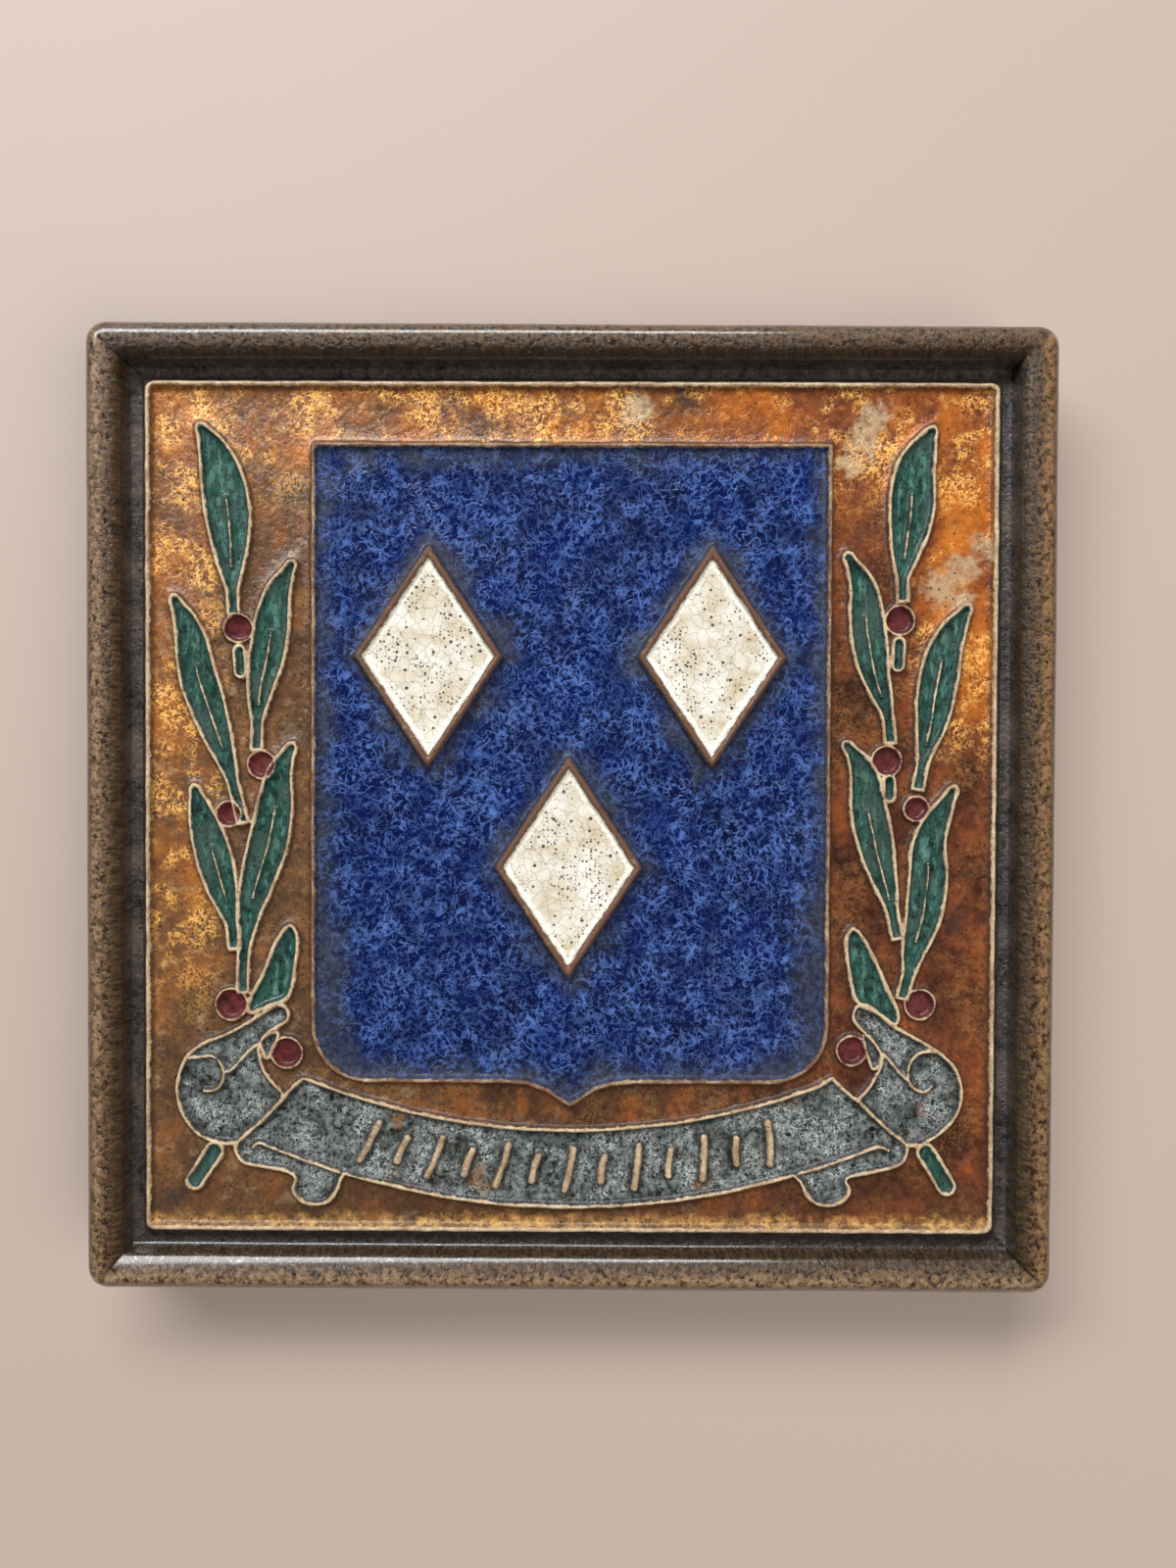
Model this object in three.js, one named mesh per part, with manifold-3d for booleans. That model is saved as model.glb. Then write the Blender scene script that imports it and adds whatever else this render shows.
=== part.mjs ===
// A square glazed wall tile with a raised rim and a sunk panel. Raised lines of clay on the panel
// hold the coloured glazes apart: a shield with three lozenges, a leafy branch on either side and a
// ribbon below. The tile is one fired piece, so it is one solid.
// Millimetres. X runs to the right of the picture, Y to its top, Z out of the glazed face. The
// origin is the centre of the flat back.
import * as THREE from 'three';
import { mergeVertices } from 'three/addons/utils/BufferGeometryUtils.js';
import Module from 'manifold-3d';

const wasm = await Module();
wasm.setup();

// Blank
const tileSize = 109;
const thickness = 12;
const cornerRadius = 2.4;
const backChamfer = 0.6;

// Rim and channel, from the outside in
const outerRoundWidth = 1.8;
const outerRoundDrop = 1.8;
const crestWidth = 0.5;
const innerRoundWidth = 1.2;
const innerRoundDrop = 1.3;
const slopeWidth = 0.6;
const channelWidth = 2.2;

// Panel, and the raised lines on it
const panelDrop = 2.6;
const channelDepth = 0.8;
const lineWidth = 0.75;
const lineHeight = 0.7;
const veinWidth = 0.5;

// Shield
const sideStrip = 18.7;
const shieldTopMargin = 6.8;
const shieldCornerRadius = 6.3;
const shieldPointWidth = 15;
const shieldPointDrop = 2.8;
const shieldPointCurl = 0.35;

// Lozenges
const lozengeWidth = 17.2;
const lozengeHeight = 25;
const lozengeBorder = 0.95;
const lozengeGlazeRise = 0.45;
const lozengeLineRise = 0.9;
const lozengeSideShare = 0.272;
const upperLozengeShare = 0.321;
const lowerLozengeShare = 0.636;

// Ribbon
const ribbonHeight = 9.3;
const ribbonMargin = 2.6;
const ribbonGap = 2.3;
const ribbonOverhang = 0.5;
const ribbonSag = 5.8;

// Strokes in the ribbon's place for an inscription
const strokeCount = 13;
const strokeLength = 4.8;
const shortStrokeShare = 0.6;
const strokeWidth = 0.7;
const strokeHeight = 0.5;
const strokeRowWidth = 46;
const strokeLean = 12;

// Branches
const branchHeight = 66.5;
const branchTopMargin = 5.2;
const leafVein = [0.3, 0.68];
const leafCell = [0.16, 0.93];
const leafSwell = 0.8;
const leafBellyShift = 1.1;
const berryRadius = 1.4;
const berryLine = 0.6;
const stemLine = 0.6;
const stalkWidth = 2.5;
const stalkLine = 0.6;

// Facets
const arcSteps = 6;
const leafSteps = 9;
const berrySteps = 10;
const ribbonSteps = 18;
const splineSteps = 3;

// Levels and places that follow from the sizes
const half = tileSize / 2;
const rimWidth = outerRoundWidth + crestWidth + innerRoundWidth + slopeWidth;
const panelHalf = half - rimWidth - channelWidth;
const panelTop = thickness - panelDrop;
const channelFloor = panelTop - channelDepth;
const shieldHalf = panelHalf - sideStrip;
const shieldTop = panelHalf - shieldTopMargin;
const ribbonTopEdge = -panelHalf + ribbonMargin + ribbonHeight;
const shieldPoint = ribbonTopEdge + ribbonGap;
const stripCentre = panelHalf - sideStrip / 2;
const branchFoot = panelHalf - branchTopMargin - branchHeight;
const sink = 0.5 * lineHeight;

// Turns a closed geometry into a solid that can be joined and cut.
function solidFrom(geometry) {
  const bare = new THREE.BufferGeometry();
  bare.setAttribute('position', geometry.getAttribute('position'));
  if (geometry.index) bare.setIndex(geometry.index);
  const merged = mergeVertices(bare, 1e-4);
  const index = merged.index.array;
  const kept = [];
  for (let i = 0; i < index.length; i += 3) {
    const [a, b, c] = [index[i], index[i + 1], index[i + 2]];
    if (a !== b && b !== c && c !== a) kept.push(a, b, c);
  }
  const vertProperties = Float32Array.from(merged.getAttribute('position').array);
  const triVerts = Uint32Array.from(kept);
  return new wasm.Manifold(new wasm.Mesh({ numProp: 3, vertProperties, triVerts }));
}

// Turns a joined solid back into a geometry.
function geometryFrom(solid) {
  const mesh = solid.getMesh();
  const geometry = new THREE.BufferGeometry();
  geometry.setAttribute('position', new THREE.BufferAttribute(Float32Array.from(mesh.vertProperties), 3));
  geometry.setIndex(new THREE.BufferAttribute(Uint32Array.from(mesh.triVerts), 1));
  geometry.computeVertexNormals();
  return geometry;
}

// Raises a flat shape from a little inside the panel to a height above its glaze.
function raise(shape, height, bevel = 0) {
  const geometry = new THREE.ExtrudeGeometry(shape, {
    depth: sink + height - bevel,
    steps: 1,
    bevelEnabled: bevel > 0,
    bevelThickness: bevel,
    bevelSize: bevel,
    bevelOffset: -bevel,
    bevelSegments: 1,
    curveSegments: arcSteps,
  });
  geometry.translate(0, 0, panelTop - sink);
  return solidFrom(geometry);
}

// Points of a smooth line through a few chosen ones.
function smooth(points) {
  const curve = new THREE.SplineCurve(points);
  return curve.getPoints((points.length - 1) * splineSteps);
}

// Moves each point of a line sideways, to its left for a positive distance.
function sideways(points, distance, closed = false) {
  const last = points.length - 1;
  return points.map((point, i) => {
    const before = points[i > 0 ? i - 1 : closed ? last : 0];
    const after = points[i < last ? i + 1 : closed ? 0 : last];
    const arrive = point.clone().sub(before).normalize();
    const leave = after.clone().sub(point).normalize();
    const along = arrive.clone().add(leave).normalize();
    const normal = new THREE.Vector2(-along.y, along.x);
    const straight = arrive.lengthSq() > 0 ? arrive : leave;
    const stretch = Math.min(1.5, 1 / Math.max(0.5, along.dot(straight)));
    return point.clone().addScaledVector(normal, distance * stretch);
  });
}

// A raised line of a given width along open points.
function line(points, width = lineWidth, height = lineHeight) {
  const left = sideways(points, width / 2);
  const right = sideways(points, -width / 2).reverse();
  return raise(new THREE.Shape([...left, ...right]), height);
}

// A raised line around a cell, inside a closed outline that runs anticlockwise.
function fence(outline, width = lineWidth, height = lineHeight, bevel = 0) {
  const shape = new THREE.Shape(outline);
  shape.holes.push(new THREE.Path(sideways(outline, width, true).reverse()));
  return raise(shape, height, bevel);
}

// Blank, rim, channel and panel: a four-sided turning, so that the rim is mitred at its corners.
function blank() {
  const crest = half - outerRoundWidth;
  const innerCrest = crest - crestWidth;
  const slopeTop = innerCrest - innerRoundWidth;
  const outside = [];
  const inside = [];
  for (let i = 0; i <= arcSteps; i += 1) {
    const turn = (Math.PI / 2) * (i / arcSteps);
    const [across, down] = [Math.cos(turn), 1 - Math.sin(turn)];
    outside.push([crest + outerRoundWidth * across, thickness - outerRoundDrop * down]);
    inside.unshift([innerCrest - innerRoundWidth * across, thickness - innerRoundDrop * down]);
  }
  const profile = [
    [0, 0],
    [half - backChamfer, 0],
    [half, backChamfer],
    ...outside,
    ...inside,
    [slopeTop - slopeWidth, channelFloor],
    [panelHalf, channelFloor],
    [panelHalf, panelTop + lineHeight],
    [panelHalf - lineWidth, panelTop + lineHeight],
    [panelHalf - lineWidth, panelTop],
    [0, panelTop],
  ];
  const turned = profile.map(([side, z]) => new THREE.Vector2(side * Math.SQRT2, z));
  const lathe = new THREE.LatheGeometry(turned, 4);
  lathe.rotateY(Math.PI / 4);
  lathe.rotateX(Math.PI / 2);
  const plan = new THREE.Shape();
  const flat = half - cornerRadius;
  plan.absarc(flat, -flat, cornerRadius, -Math.PI / 2, 0);
  plan.absarc(flat, flat, cornerRadius, 0, Math.PI / 2);
  plan.absarc(-flat, flat, cornerRadius, Math.PI / 2, Math.PI);
  plan.absarc(-flat, -flat, cornerRadius, Math.PI, (3 * Math.PI) / 2);
  const block = new THREE.ExtrudeGeometry(plan, {
    depth: 2 * thickness,
    bevelEnabled: false,
    curveSegments: arcSteps,
  });
  block.translate(0, 0, -thickness / 2);
  return solidFrom(lathe).intersect(solidFrom(block));
}

// The line around the shield: square above, round below, with a small point in the middle.
function shield() {
  const bottom = shieldPoint + shieldPointDrop;
  const pointHalf = shieldPointWidth / 2;
  const flat = shieldHalf - shieldCornerRadius;
  const shape = new THREE.Shape();
  shape.moveTo(0, shieldPoint);
  shape.quadraticCurveTo(pointHalf * shieldPointCurl, bottom, pointHalf, bottom);
  shape.absarc(flat, bottom + shieldCornerRadius, shieldCornerRadius, -Math.PI / 2, 0);
  shape.lineTo(shieldHalf, shieldTop);
  shape.lineTo(-shieldHalf, shieldTop);
  shape.absarc(-flat, bottom + shieldCornerRadius, shieldCornerRadius, Math.PI, (3 * Math.PI) / 2);
  shape.lineTo(-pointHalf, bottom);
  shape.quadraticCurveTo(-pointHalf * shieldPointCurl, bottom, 0, shieldPoint);
  const outline = shape.getPoints(arcSteps);
  const closing = outline[0].distanceTo(outline.at(-1)) < 1e-6;
  return fence(closing ? outline.slice(0, -1) : outline);
}

// One lozenge: a wide border with sloping sides around a raised pool of glaze.
function lozenge(x, y) {
  const outline = [
    new THREE.Vector2(x + lozengeWidth / 2, y),
    new THREE.Vector2(x, y + lozengeHeight / 2),
    new THREE.Vector2(x - lozengeWidth / 2, y),
    new THREE.Vector2(x, y - lozengeHeight / 2),
  ];
  const pool = raise(new THREE.Shape(outline), lozengeGlazeRise, lozengeGlazeRise / 2);
  return pool.add(fence(outline, lozengeBorder, lozengeLineRise, lozengeBorder / 4));
}

// Lozenges at their shares of the shield's width and height: two above, one below.
function lozenges() {
  const shieldWidth = 2 * shieldHalf;
  const shieldHeight = shieldTop - shieldPoint;
  const upper = shieldTop - upperLozengeShare * shieldHeight;
  const lower = shieldTop - lowerLozengeShare * shieldHeight;
  return [
    lozenge(-lozengeSideShare * shieldWidth, upper),
    lozenge(lozengeSideShare * shieldWidth, upper),
    lozenge(0, lower),
  ];
}

// A place beside the shield, from percentages of the strip's width and of the branch's height.
function onStrip(side, [across, up]) {
  const x = side * stripCentre + (across * sideStrip) / 100;
  return new THREE.Vector2(x, branchFoot + (up * branchHeight) / 100);
}

// A leaf: a line around it that is widest past its middle, and a vein on its bent centre line.
// Foot, tip, bow and width are percentages of the strip and of the branch.
function leaf(side, { foot, tip, bow, width, vein = leafVein }) {
  const start = onStrip(side, foot);
  const end = onStrip(side, tip);
  const along = end.clone().sub(start).normalize();
  const across = new THREE.Vector2(along.y, -along.x);
  const bend = start.clone().lerp(end, 0.5).addScaledVector(across, (2 * bow * sideStrip) / 100);
  const centre = new THREE.QuadraticBezierCurve(start, bend, end);
  const fullHalf = (width * sideStrip) / 200;
  const halfAt = (t) => Math.max(lineWidth, fullHalf * Math.sin(Math.PI * t ** leafBellyShift) ** leafSwell);
  const place = (t, offset) => {
    const slope = centre.getTangent(t);
    return centre.getPoint(t).add(new THREE.Vector2(slope.y, -slope.x).multiplyScalar(offset));
  };
  const ring = (from, to, thinner) => {
    const right = [];
    const left = [];
    for (let i = 0; i < leafSteps; i += 1) {
      const t = from + ((to - from) * i) / leafSteps;
      right.push(place(t, halfAt(t) - thinner));
      left.unshift(place(t, thinner - halfAt(t)));
    }
    return [...right, place(to, 0), ...left];
  };
  const shape = new THREE.Shape(ring(0, 1, 0));
  const cell = ring(...leafCell, lineWidth);
  shape.holes.push(new THREE.Path(cell.reverse()));
  const veinLine = [0, 0.5, 1].map((share) => place(vein[0] + (vein[1] - vein[0]) * share, 0));
  return raise(shape, lineHeight).add(line(veinLine, veinWidth));
}

// A stem: a narrow cell between two lines.
function stem(side, from, to, width) {
  const [start, end] = [onStrip(side, from), onStrip(side, to)];
  const stemHalf = (width * sideStrip) / 200;
  const right = sideways([start, end], -stemHalf);
  const left = sideways([start, end], stemHalf).reverse();
  return fence([...right, ...left], stemLine);
}

// Points of a circle about a berry's middle.
function berryCircle(side, place, radius) {
  const centre = onStrip(side, place);
  return Array.from({ length: berrySteps }, (_, i) => {
    const turn = (2 * Math.PI * i) / berrySteps;
    return new THREE.Vector2(radius * Math.cos(turn), radius * Math.sin(turn)).add(centre);
  });
}

// The two branches were drawn by hand and differ a little.
const branches = [
  {
    side: -1,
    leaves: [
      { foot: [4, 69], tip: [-15, 100], bow: 7, width: 30 },
      { foot: [17, 45], tip: [38, 77], bow: -5, width: 24 },
      { foot: [10, 33], tip: [-33, 71], bow: 2, width: 25, vein: [0.3, 0.72] },
      { foot: [5, 11], tip: [-22, 39], bow: 2, width: 25 },
      { foot: [13, 17], tip: [39, 46], bow: -1, width: 25 },
      { foot: [17, 1], tip: [41, 15], bow: -2, width: 20, vein: [0.1, 0.4] },
    ],
    stems: [[[10, 4], [9, 20], 9], [[13, 43], [10, 63], 8]],
    berries: [[7, 65.9], [21, 42.7], [1, 34.3], [2, 1.8], [36, -6.5]],
  },
  {
    side: 1,
    leaves: [
      { foot: [-9, 71], tip: [10, 100], bow: -6, width: 29 },
      { foot: [-15, 47], tip: [-41, 78.5], bow: 4, width: 23 },
      { foot: [2, 39], tip: [31, 70], bow: -5, width: 25 },
      { foot: [-9, 13.5], tip: [-39, 47], bow: 2, width: 24 },
      { foot: [0, 5], tip: [24, 39], bow: -5, width: 25, vein: [0.3, 0.6] },
      { foot: [-14, -0.5], tip: [-37, 15], bow: 0, width: 21, vein: [0.2, 0.5] },
    ],
    stems: [[[-8, 4], [-8, 18], 9], [[-11, 44], [-9, 65], 8]],
    berries: [[-9, 67.7], [-17, 43.8], [1, 35.6], [5, 2.3], [-37, -5.7]],
  },
];

// Leaves and stems, cut away where a berry sits, and the ring of clay around each berry's pool.
function branch({ side, leaves, stems, berries }) {
  const greens = [
    ...leaves.map((shape) => leaf(side, shape)),
    ...stems.map(([from, to, width]) => stem(side, from, to, width)),
  ].reduce((joined, piece) => joined.add(piece));
  return berries.reduce((grown, place) => {
    const clearing = berryCircle(side, place, berryRadius + berryLine / 2);
    const outline = berryCircle(side, place, berryRadius + berryLine);
    const hole = raise(new THREE.Shape(clearing), 2 * lineHeight);
    return grown.subtract(hole).add(fence(outline, berryLine));
  }, greens);
}

// The ribbon's edges are two arcs about one centre above it.
const ribbonHalf = shieldHalf + ribbonOverhang;
const ribbonRadius = (ribbonHalf ** 2 + ribbonSag ** 2) / (2 * ribbonSag);
const ribbonCentre = ribbonTopEdge + ribbonRadius;

// A point on the ribbon, from its distance below the upper edge and its angle from the middle.
function onRibbon(below, angle) {
  const radius = ribbonRadius + below;
  return new THREE.Vector2(radius * Math.sin(angle), ribbonCentre - radius * Math.cos(angle));
}

// The ribbon's long edges, its folded ends, and the scrolls that it rolls up into.
function ribbon() {
  const endAngle = Math.asin(ribbonHalf / ribbonRadius);
  const corner = onRibbon(0, endAngle);
  const edge = (below) => {
    const points = [];
    for (let i = -ribbonSteps; i <= ribbonSteps; i += 2) {
      points.push(onRibbon(below, (endAngle * i) / ribbonSteps));
    }
    return line(points);
  };
  const pieces = [edge(0), edge(ribbonHeight)];
  for (const side of [-1, 1]) {
    // Places outward from the ribbon's corner in percent of the strip, down in percent of its height
    const at = ([out, down]) => {
      const x = side * (corner.x + (out * sideStrip) / 100);
      return new THREE.Vector2(x, corner.y - (down * ribbonHeight) / 100);
    };
    const trace = (points) => line(smooth(points.map(at)));
    pieces.push(
      trace([[0, 0], [13, 27], [27, 59], [40, 82], [41, 97], [34, 111]]),
      trace([[34, 111], [21, 113], [9, 118], [5, 127], [6, 140], [0, 152], [-9, 155], [-18, 138]]),
      trace([[0, 101], [12, 92], [22, 83], [31, 85]]),
      trace([[14, 24], [26, 55], [42, 80], [56, 80], [70, 68], [77, 38], [76, 0], [68, -27], [55, -38]]),
      trace([[55, -38], [42, -60], [26, -81], [14, -87], [10, -76]]),
      trace([[70, -24], [61, -25], [53, -16], [50, 3], [54, 16], [62, 15]]),
      trace([[48, -18], [35, -32], [21, -54], [12, -70]]),
      trace([[14, 24], [20, 8], [27, -14], [29, -38]]),
      stalk(at([57, 82]), at([70, 128])),
    );
  }
  return pieces;
}

// The cut end of a branch below its scroll: a narrow cell with round ends.
function stalk(top, bottom) {
  const along = bottom.clone().sub(top).angle();
  const cap = (centre, from) =>
    Array.from({ length: arcSteps + 1 }, (_, i) => {
      const turn = along + from + (Math.PI * i) / arcSteps;
      return new THREE.Vector2(Math.cos(turn), Math.sin(turn)).multiplyScalar(stalkWidth / 2).add(centre);
    });
  return fence([...cap(top, Math.PI / 2), ...cap(bottom, -Math.PI / 2)], stalkLine);
}

// A row of strokes across the ribbon, long and short by turns.
function strokes() {
  const middle = ribbonHeight / 2;
  const step = strokeRowWidth / (strokeCount - 1) / (ribbonRadius + middle);
  const lean = (strokeLean * Math.PI) / 180;
  return Array.from({ length: strokeCount }, (_, i) => {
    const angle = (i - (strokeCount - 1) / 2) * step;
    const reach = (i % 2 === 0 ? strokeLength : shortStrokeShare * strokeLength) / 2;
    const centre = onRibbon(middle, angle);
    const direction = new THREE.Vector2(0, reach).rotateAround(new THREE.Vector2(), angle - lean);
    const ends = [centre.clone().sub(direction), centre.clone().add(direction)];
    return line(ends, strokeWidth, strokeHeight);
  });
}

const relief = [shield(), ...lozenges(), ...branches.map(branch), ...ribbon(), ...strokes()];
const joined = relief.reduce((body, piece) => body.add(piece), blank());

const tile = new THREE.Mesh(
  geometryFrom(joined),
  new THREE.MeshStandardMaterial({ color: 0x6b4a2c, roughness: 0.35, metalness: 0 }),
);
tile.name = 'tile';

const part = new THREE.Group();
part.add(tile);

export default part;
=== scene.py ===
# %% [markdown]
# # A glazed tile with raised clay lines
# The real object is one piece of fired clay. Its maker pressed a square blank with a raised rim,
# drew a shield, two branches and a ribbon on the sunk panel in raised lines of clay, and filled
# each cell between the lines with a coloured glaze. We rebuild it in that order: the clay blank,
# the drawing, the relief that follows from the drawing, and then the glazes as materials.
# The first cell loads the fixed frame. The tile in it gives every outer size.

# %% Load the frame
import math
import random

import bpy
import numpy as np
from mathutils import Euler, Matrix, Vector, noise
from mathutils.geometry import delaunay_2d_cdt
from mathutils.kdtree import KDTree


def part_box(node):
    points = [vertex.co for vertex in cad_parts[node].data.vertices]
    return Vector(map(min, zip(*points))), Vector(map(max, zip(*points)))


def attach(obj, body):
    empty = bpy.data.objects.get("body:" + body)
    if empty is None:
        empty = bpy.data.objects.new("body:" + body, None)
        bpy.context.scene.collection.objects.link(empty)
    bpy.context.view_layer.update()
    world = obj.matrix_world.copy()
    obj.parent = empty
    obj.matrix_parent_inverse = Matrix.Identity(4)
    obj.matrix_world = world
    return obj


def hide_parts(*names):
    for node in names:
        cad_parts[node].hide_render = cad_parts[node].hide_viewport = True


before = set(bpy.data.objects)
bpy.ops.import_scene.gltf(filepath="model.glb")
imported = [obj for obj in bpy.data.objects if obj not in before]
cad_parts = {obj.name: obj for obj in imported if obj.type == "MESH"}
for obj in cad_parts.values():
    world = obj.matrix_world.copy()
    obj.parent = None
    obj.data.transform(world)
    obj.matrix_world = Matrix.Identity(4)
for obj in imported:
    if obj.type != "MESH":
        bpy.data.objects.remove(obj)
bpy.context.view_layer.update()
MM = 0.001
node_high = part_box("tile")[1]
HALF = node_high[0] / MM
CREST = node_high[2] / MM
print("tile", round(2 * HALF, 2), "mm square and", round(CREST, 2), "mm thick")

# %% [markdown]
# ## Camera
# The photograph was taken from straight above with a telephone held close, so the rim's inner
# faces show on all four sides. We could guess a view and nudge it. Instead the place below was
# worked out from where the panel's four corners fall in the picture, which settles height, tilt
# and lens together.

# %% Camera over the tile
CAMERA_PLACE = (2.39, 5.06, 142.97)
CAMERA_TURN = (-0.94, 0.18, 0.24)
FOCAL_SHARE = 0.751
SENSOR = 36.0

camera_data = bpy.data.cameras.new("camera")
camera_data.sensor_width = SENSOR
camera_data.lens = SENSOR * FOCAL_SHARE
camera_data.clip_start = 0.005
camera = bpy.data.objects.new("camera", camera_data)
camera.location = Vector(CAMERA_PLACE) * MM
camera.rotation_euler = Euler([math.radians(a) for a in CAMERA_TURN])
bpy.context.scene.collection.objects.link(camera)
bpy.context.scene.camera = camera
print("lens", round(camera_data.lens, 2), "mm")

# %% [markdown]
# ## Floor and light
# The tile lies on a plain pale table top by a window. The glaze is glossy, so the light matters
# more than its strength: one broad soft panel beyond the top of the picture draws the bright band
# on the rim's lower slope, and a second one overhead fills the shadows. A lamp closer by would
# give small hard highlights that the photograph doesn't have. The fill is hidden from glossy
# rays, because a second mirror image would lay a haze over the dark glazes.

# %% Floor
FLOOR_SIZE = 3.0
FLOOR_COLOUR = (0.44, 0.35, 0.30, 1)


def deselect_all():
    """Leaves edit mode and clears the selection, because an operator acts on all that is selected."""
    if bpy.context.object and bpy.context.object.mode != "OBJECT":
        bpy.ops.object.mode_set(mode="OBJECT")
    bpy.ops.object.select_all(action="DESELECT")


deselect_all()
bpy.ops.mesh.primitive_plane_add(size=FLOOR_SIZE, location=(0, 0, 0))
floor = bpy.context.object
floor.name = "floor"
floor_finish = bpy.data.materials.new("floor_finish")
floor_finish.use_nodes = True
floor_shader = floor_finish.node_tree.nodes["Principled BSDF"]
floor_shader.inputs["Base Color"].default_value = FLOOR_COLOUR
floor_shader.inputs["Roughness"].default_value = 0.6
floor.data.materials.append(floor_finish)
print("floor", FLOOR_SIZE, "m")

# %% Lights
TARGET = Vector((0, 0, CREST * MM))
WINDOW = dict(place=(-0.30, 0.68, 0.66), size=(1.0, 0.27), watts=14.0, colour=(0.96, 0.98, 1.0))
FILL = dict(place=(0.60, -0.35, 1.0), size=(1.2, 0.9), watts=12.5, colour=(1.0, 0.97, 0.92))
SKY = {"Color": (0.95, 0.97, 1.0, 1), "Strength": 0.09}


def soft_light(name, place, size, watts, colour):
    """A square panel of light that looks at the tile."""
    data = bpy.data.lights.new(name, "AREA")
    data.shape = "RECTANGLE"
    data.size, data.size_y = size
    data.energy = watts
    data.color = colour
    lamp = bpy.data.objects.new(name, data)
    lamp.location = place
    lamp.rotation_euler = (TARGET - Vector(place)).to_track_quat("-Z", "Y").to_euler()
    bpy.context.scene.collection.objects.link(lamp)
    return lamp


soft_light("window", **WINDOW)
fill_light = soft_light("room", **FILL)
fill_light.visible_glossy = False

world = bpy.data.worlds.new("room")
world.use_nodes = True
for label, value in SKY.items():
    world.node_tree.nodes["Background"].inputs[label].default_value = value
bpy.context.scene.world = world
bpy.context.scene.view_settings.view_transform = "Standard"

# %% [markdown]
# ## Clay blank
# The blank is a square slab with a rounded rim, a channel inside the rim and a raised bed for the
# panel. A lathe can't turn a square, and a profile swept round a square needs its corners mended.
# Insetting the top face again and again, a little up or down each time, gives the whole section
# with true mitres at the corners, as on the real rim. So the section is written as a list of
# steps inward, each with its rise.

# %% Section of the rim, in millimetres
CORNER = 2.4
BACK_CHAMFER = 0.6
OUTER_ROUND = 1.8
CREST_WIDTH = 0.5
INNER_ROUND = 1.7
INNER_DROP = 1.35
SLOPE = 0.4
CHANNEL = 1.9
PANEL_DROP = 2.6
CHANNEL_DEPTH = 0.8
LINE_WIDTH = 0.75
LINE_HEIGHT = 0.7
ROUND_STEPS = 7
SLOPE_STEPS = ((0.25, 0.4), (0.3, 0.33), (0.45, 0.18))
CHANNEL_STEPS = ((0.15, 0.06), (0.25, 0.03), (0.6, 0))

PANEL = HALF - OUTER_ROUND - CREST_WIDTH - INNER_ROUND - SLOPE - CHANNEL
PANEL_TOP = CREST - PANEL_DROP
FLOOR_OF_CHANNEL = PANEL_TOP - CHANNEL_DEPTH
BEDDING = 0.15


def quarter_round(width, height, outside):
    """Steps inward and upward along a quarter of an ellipse, from its side to its top."""
    steps = []
    for i in range(ROUND_STEPS):
        a, b = (math.pi / 2 * (i + k) / ROUND_STEPS for k in (0, 1))
        if outside:
            steps.append((width * (math.cos(a) - math.cos(b)), height * (math.sin(b) - math.sin(a))))
        else:
            steps.append((width * (math.sin(b) - math.sin(a)), -height * (math.cos(a) - math.cos(b))))
    return steps


outside_steps = quarter_round(OUTER_ROUND, OUTER_ROUND, True) + [(CREST_WIDTH, 0)]
slope_drop = CREST - INNER_DROP - FLOOR_OF_CHANNEL
inside_steps = quarter_round(INNER_ROUND, INNER_DROP, False)
inside_steps += [(across * SLOPE, -down * slope_drop) for across, down in SLOPE_STEPS]
inside_steps += [(across * CHANNEL, -down * slope_drop) for across, down in CHANNEL_STEPS]
print("panel", round(2 * PANEL, 2), "mm square, its glaze", round(PANEL_TOP, 2), "mm above the back")

# %% Press the blank
LONG_EDGE = 20.0
CUTS_ALONG = 90


def edit_with(piece, kind):
    """Goes into edit mode on one piece with nothing selected."""
    bpy.ops.object.mode_set(mode="OBJECT")
    deselect_all()
    bpy.context.view_layer.objects.active = piece
    piece.select_set(True)
    bpy.ops.object.mode_set(mode="EDIT")
    bpy.ops.mesh.select_mode(type=kind)
    bpy.ops.mesh.select_all(action="DESELECT")
    bpy.ops.object.mode_set(mode="OBJECT")


def choose(elements, test):
    """Selects the vertices, edges or faces that pass a test, and says how many."""
    chosen = [e for e in elements if test(e)]
    for element in chosen:
        element.select = True
    bpy.ops.object.mode_set(mode="EDIT")
    return len(chosen)


deselect_all()
shoulder = CREST - OUTER_ROUND
bpy.ops.mesh.primitive_cube_add(size=1, location=(0, 0, shoulder / 2 * MM))
blank = bpy.context.object
blank.name = "clay_blank"
blank.scale = (2 * HALF * MM, 2 * HALF * MM, shoulder * MM)
bpy.ops.object.transform_apply(location=True, rotation=True, scale=True)


def span(edge):
    """The vector from one end of the blank's edge to the other, in millimetres."""
    a, b = (blank.data.vertices[i].co for i in edge.vertices)
    return (b - a) / MM


edit_with(blank, "EDGE")
upright = choose(blank.data.edges, lambda e: abs(span(e).z) > shoulder / 2)
bpy.ops.mesh.bevel(offset=CORNER * MM, segments=6)
print("upright corners rounded", upright)

# %% Raise the rim and sink the channel
CORNER_MERGE = 0.8
BED_MARGIN = 0.1


def inset_top(steps):
    """Insets the selected face by each step, up or down with it."""
    for inward, rise in steps:
        bpy.ops.mesh.inset(thickness=inward * MM, depth=rise * MM, use_even_offset=True)


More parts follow.
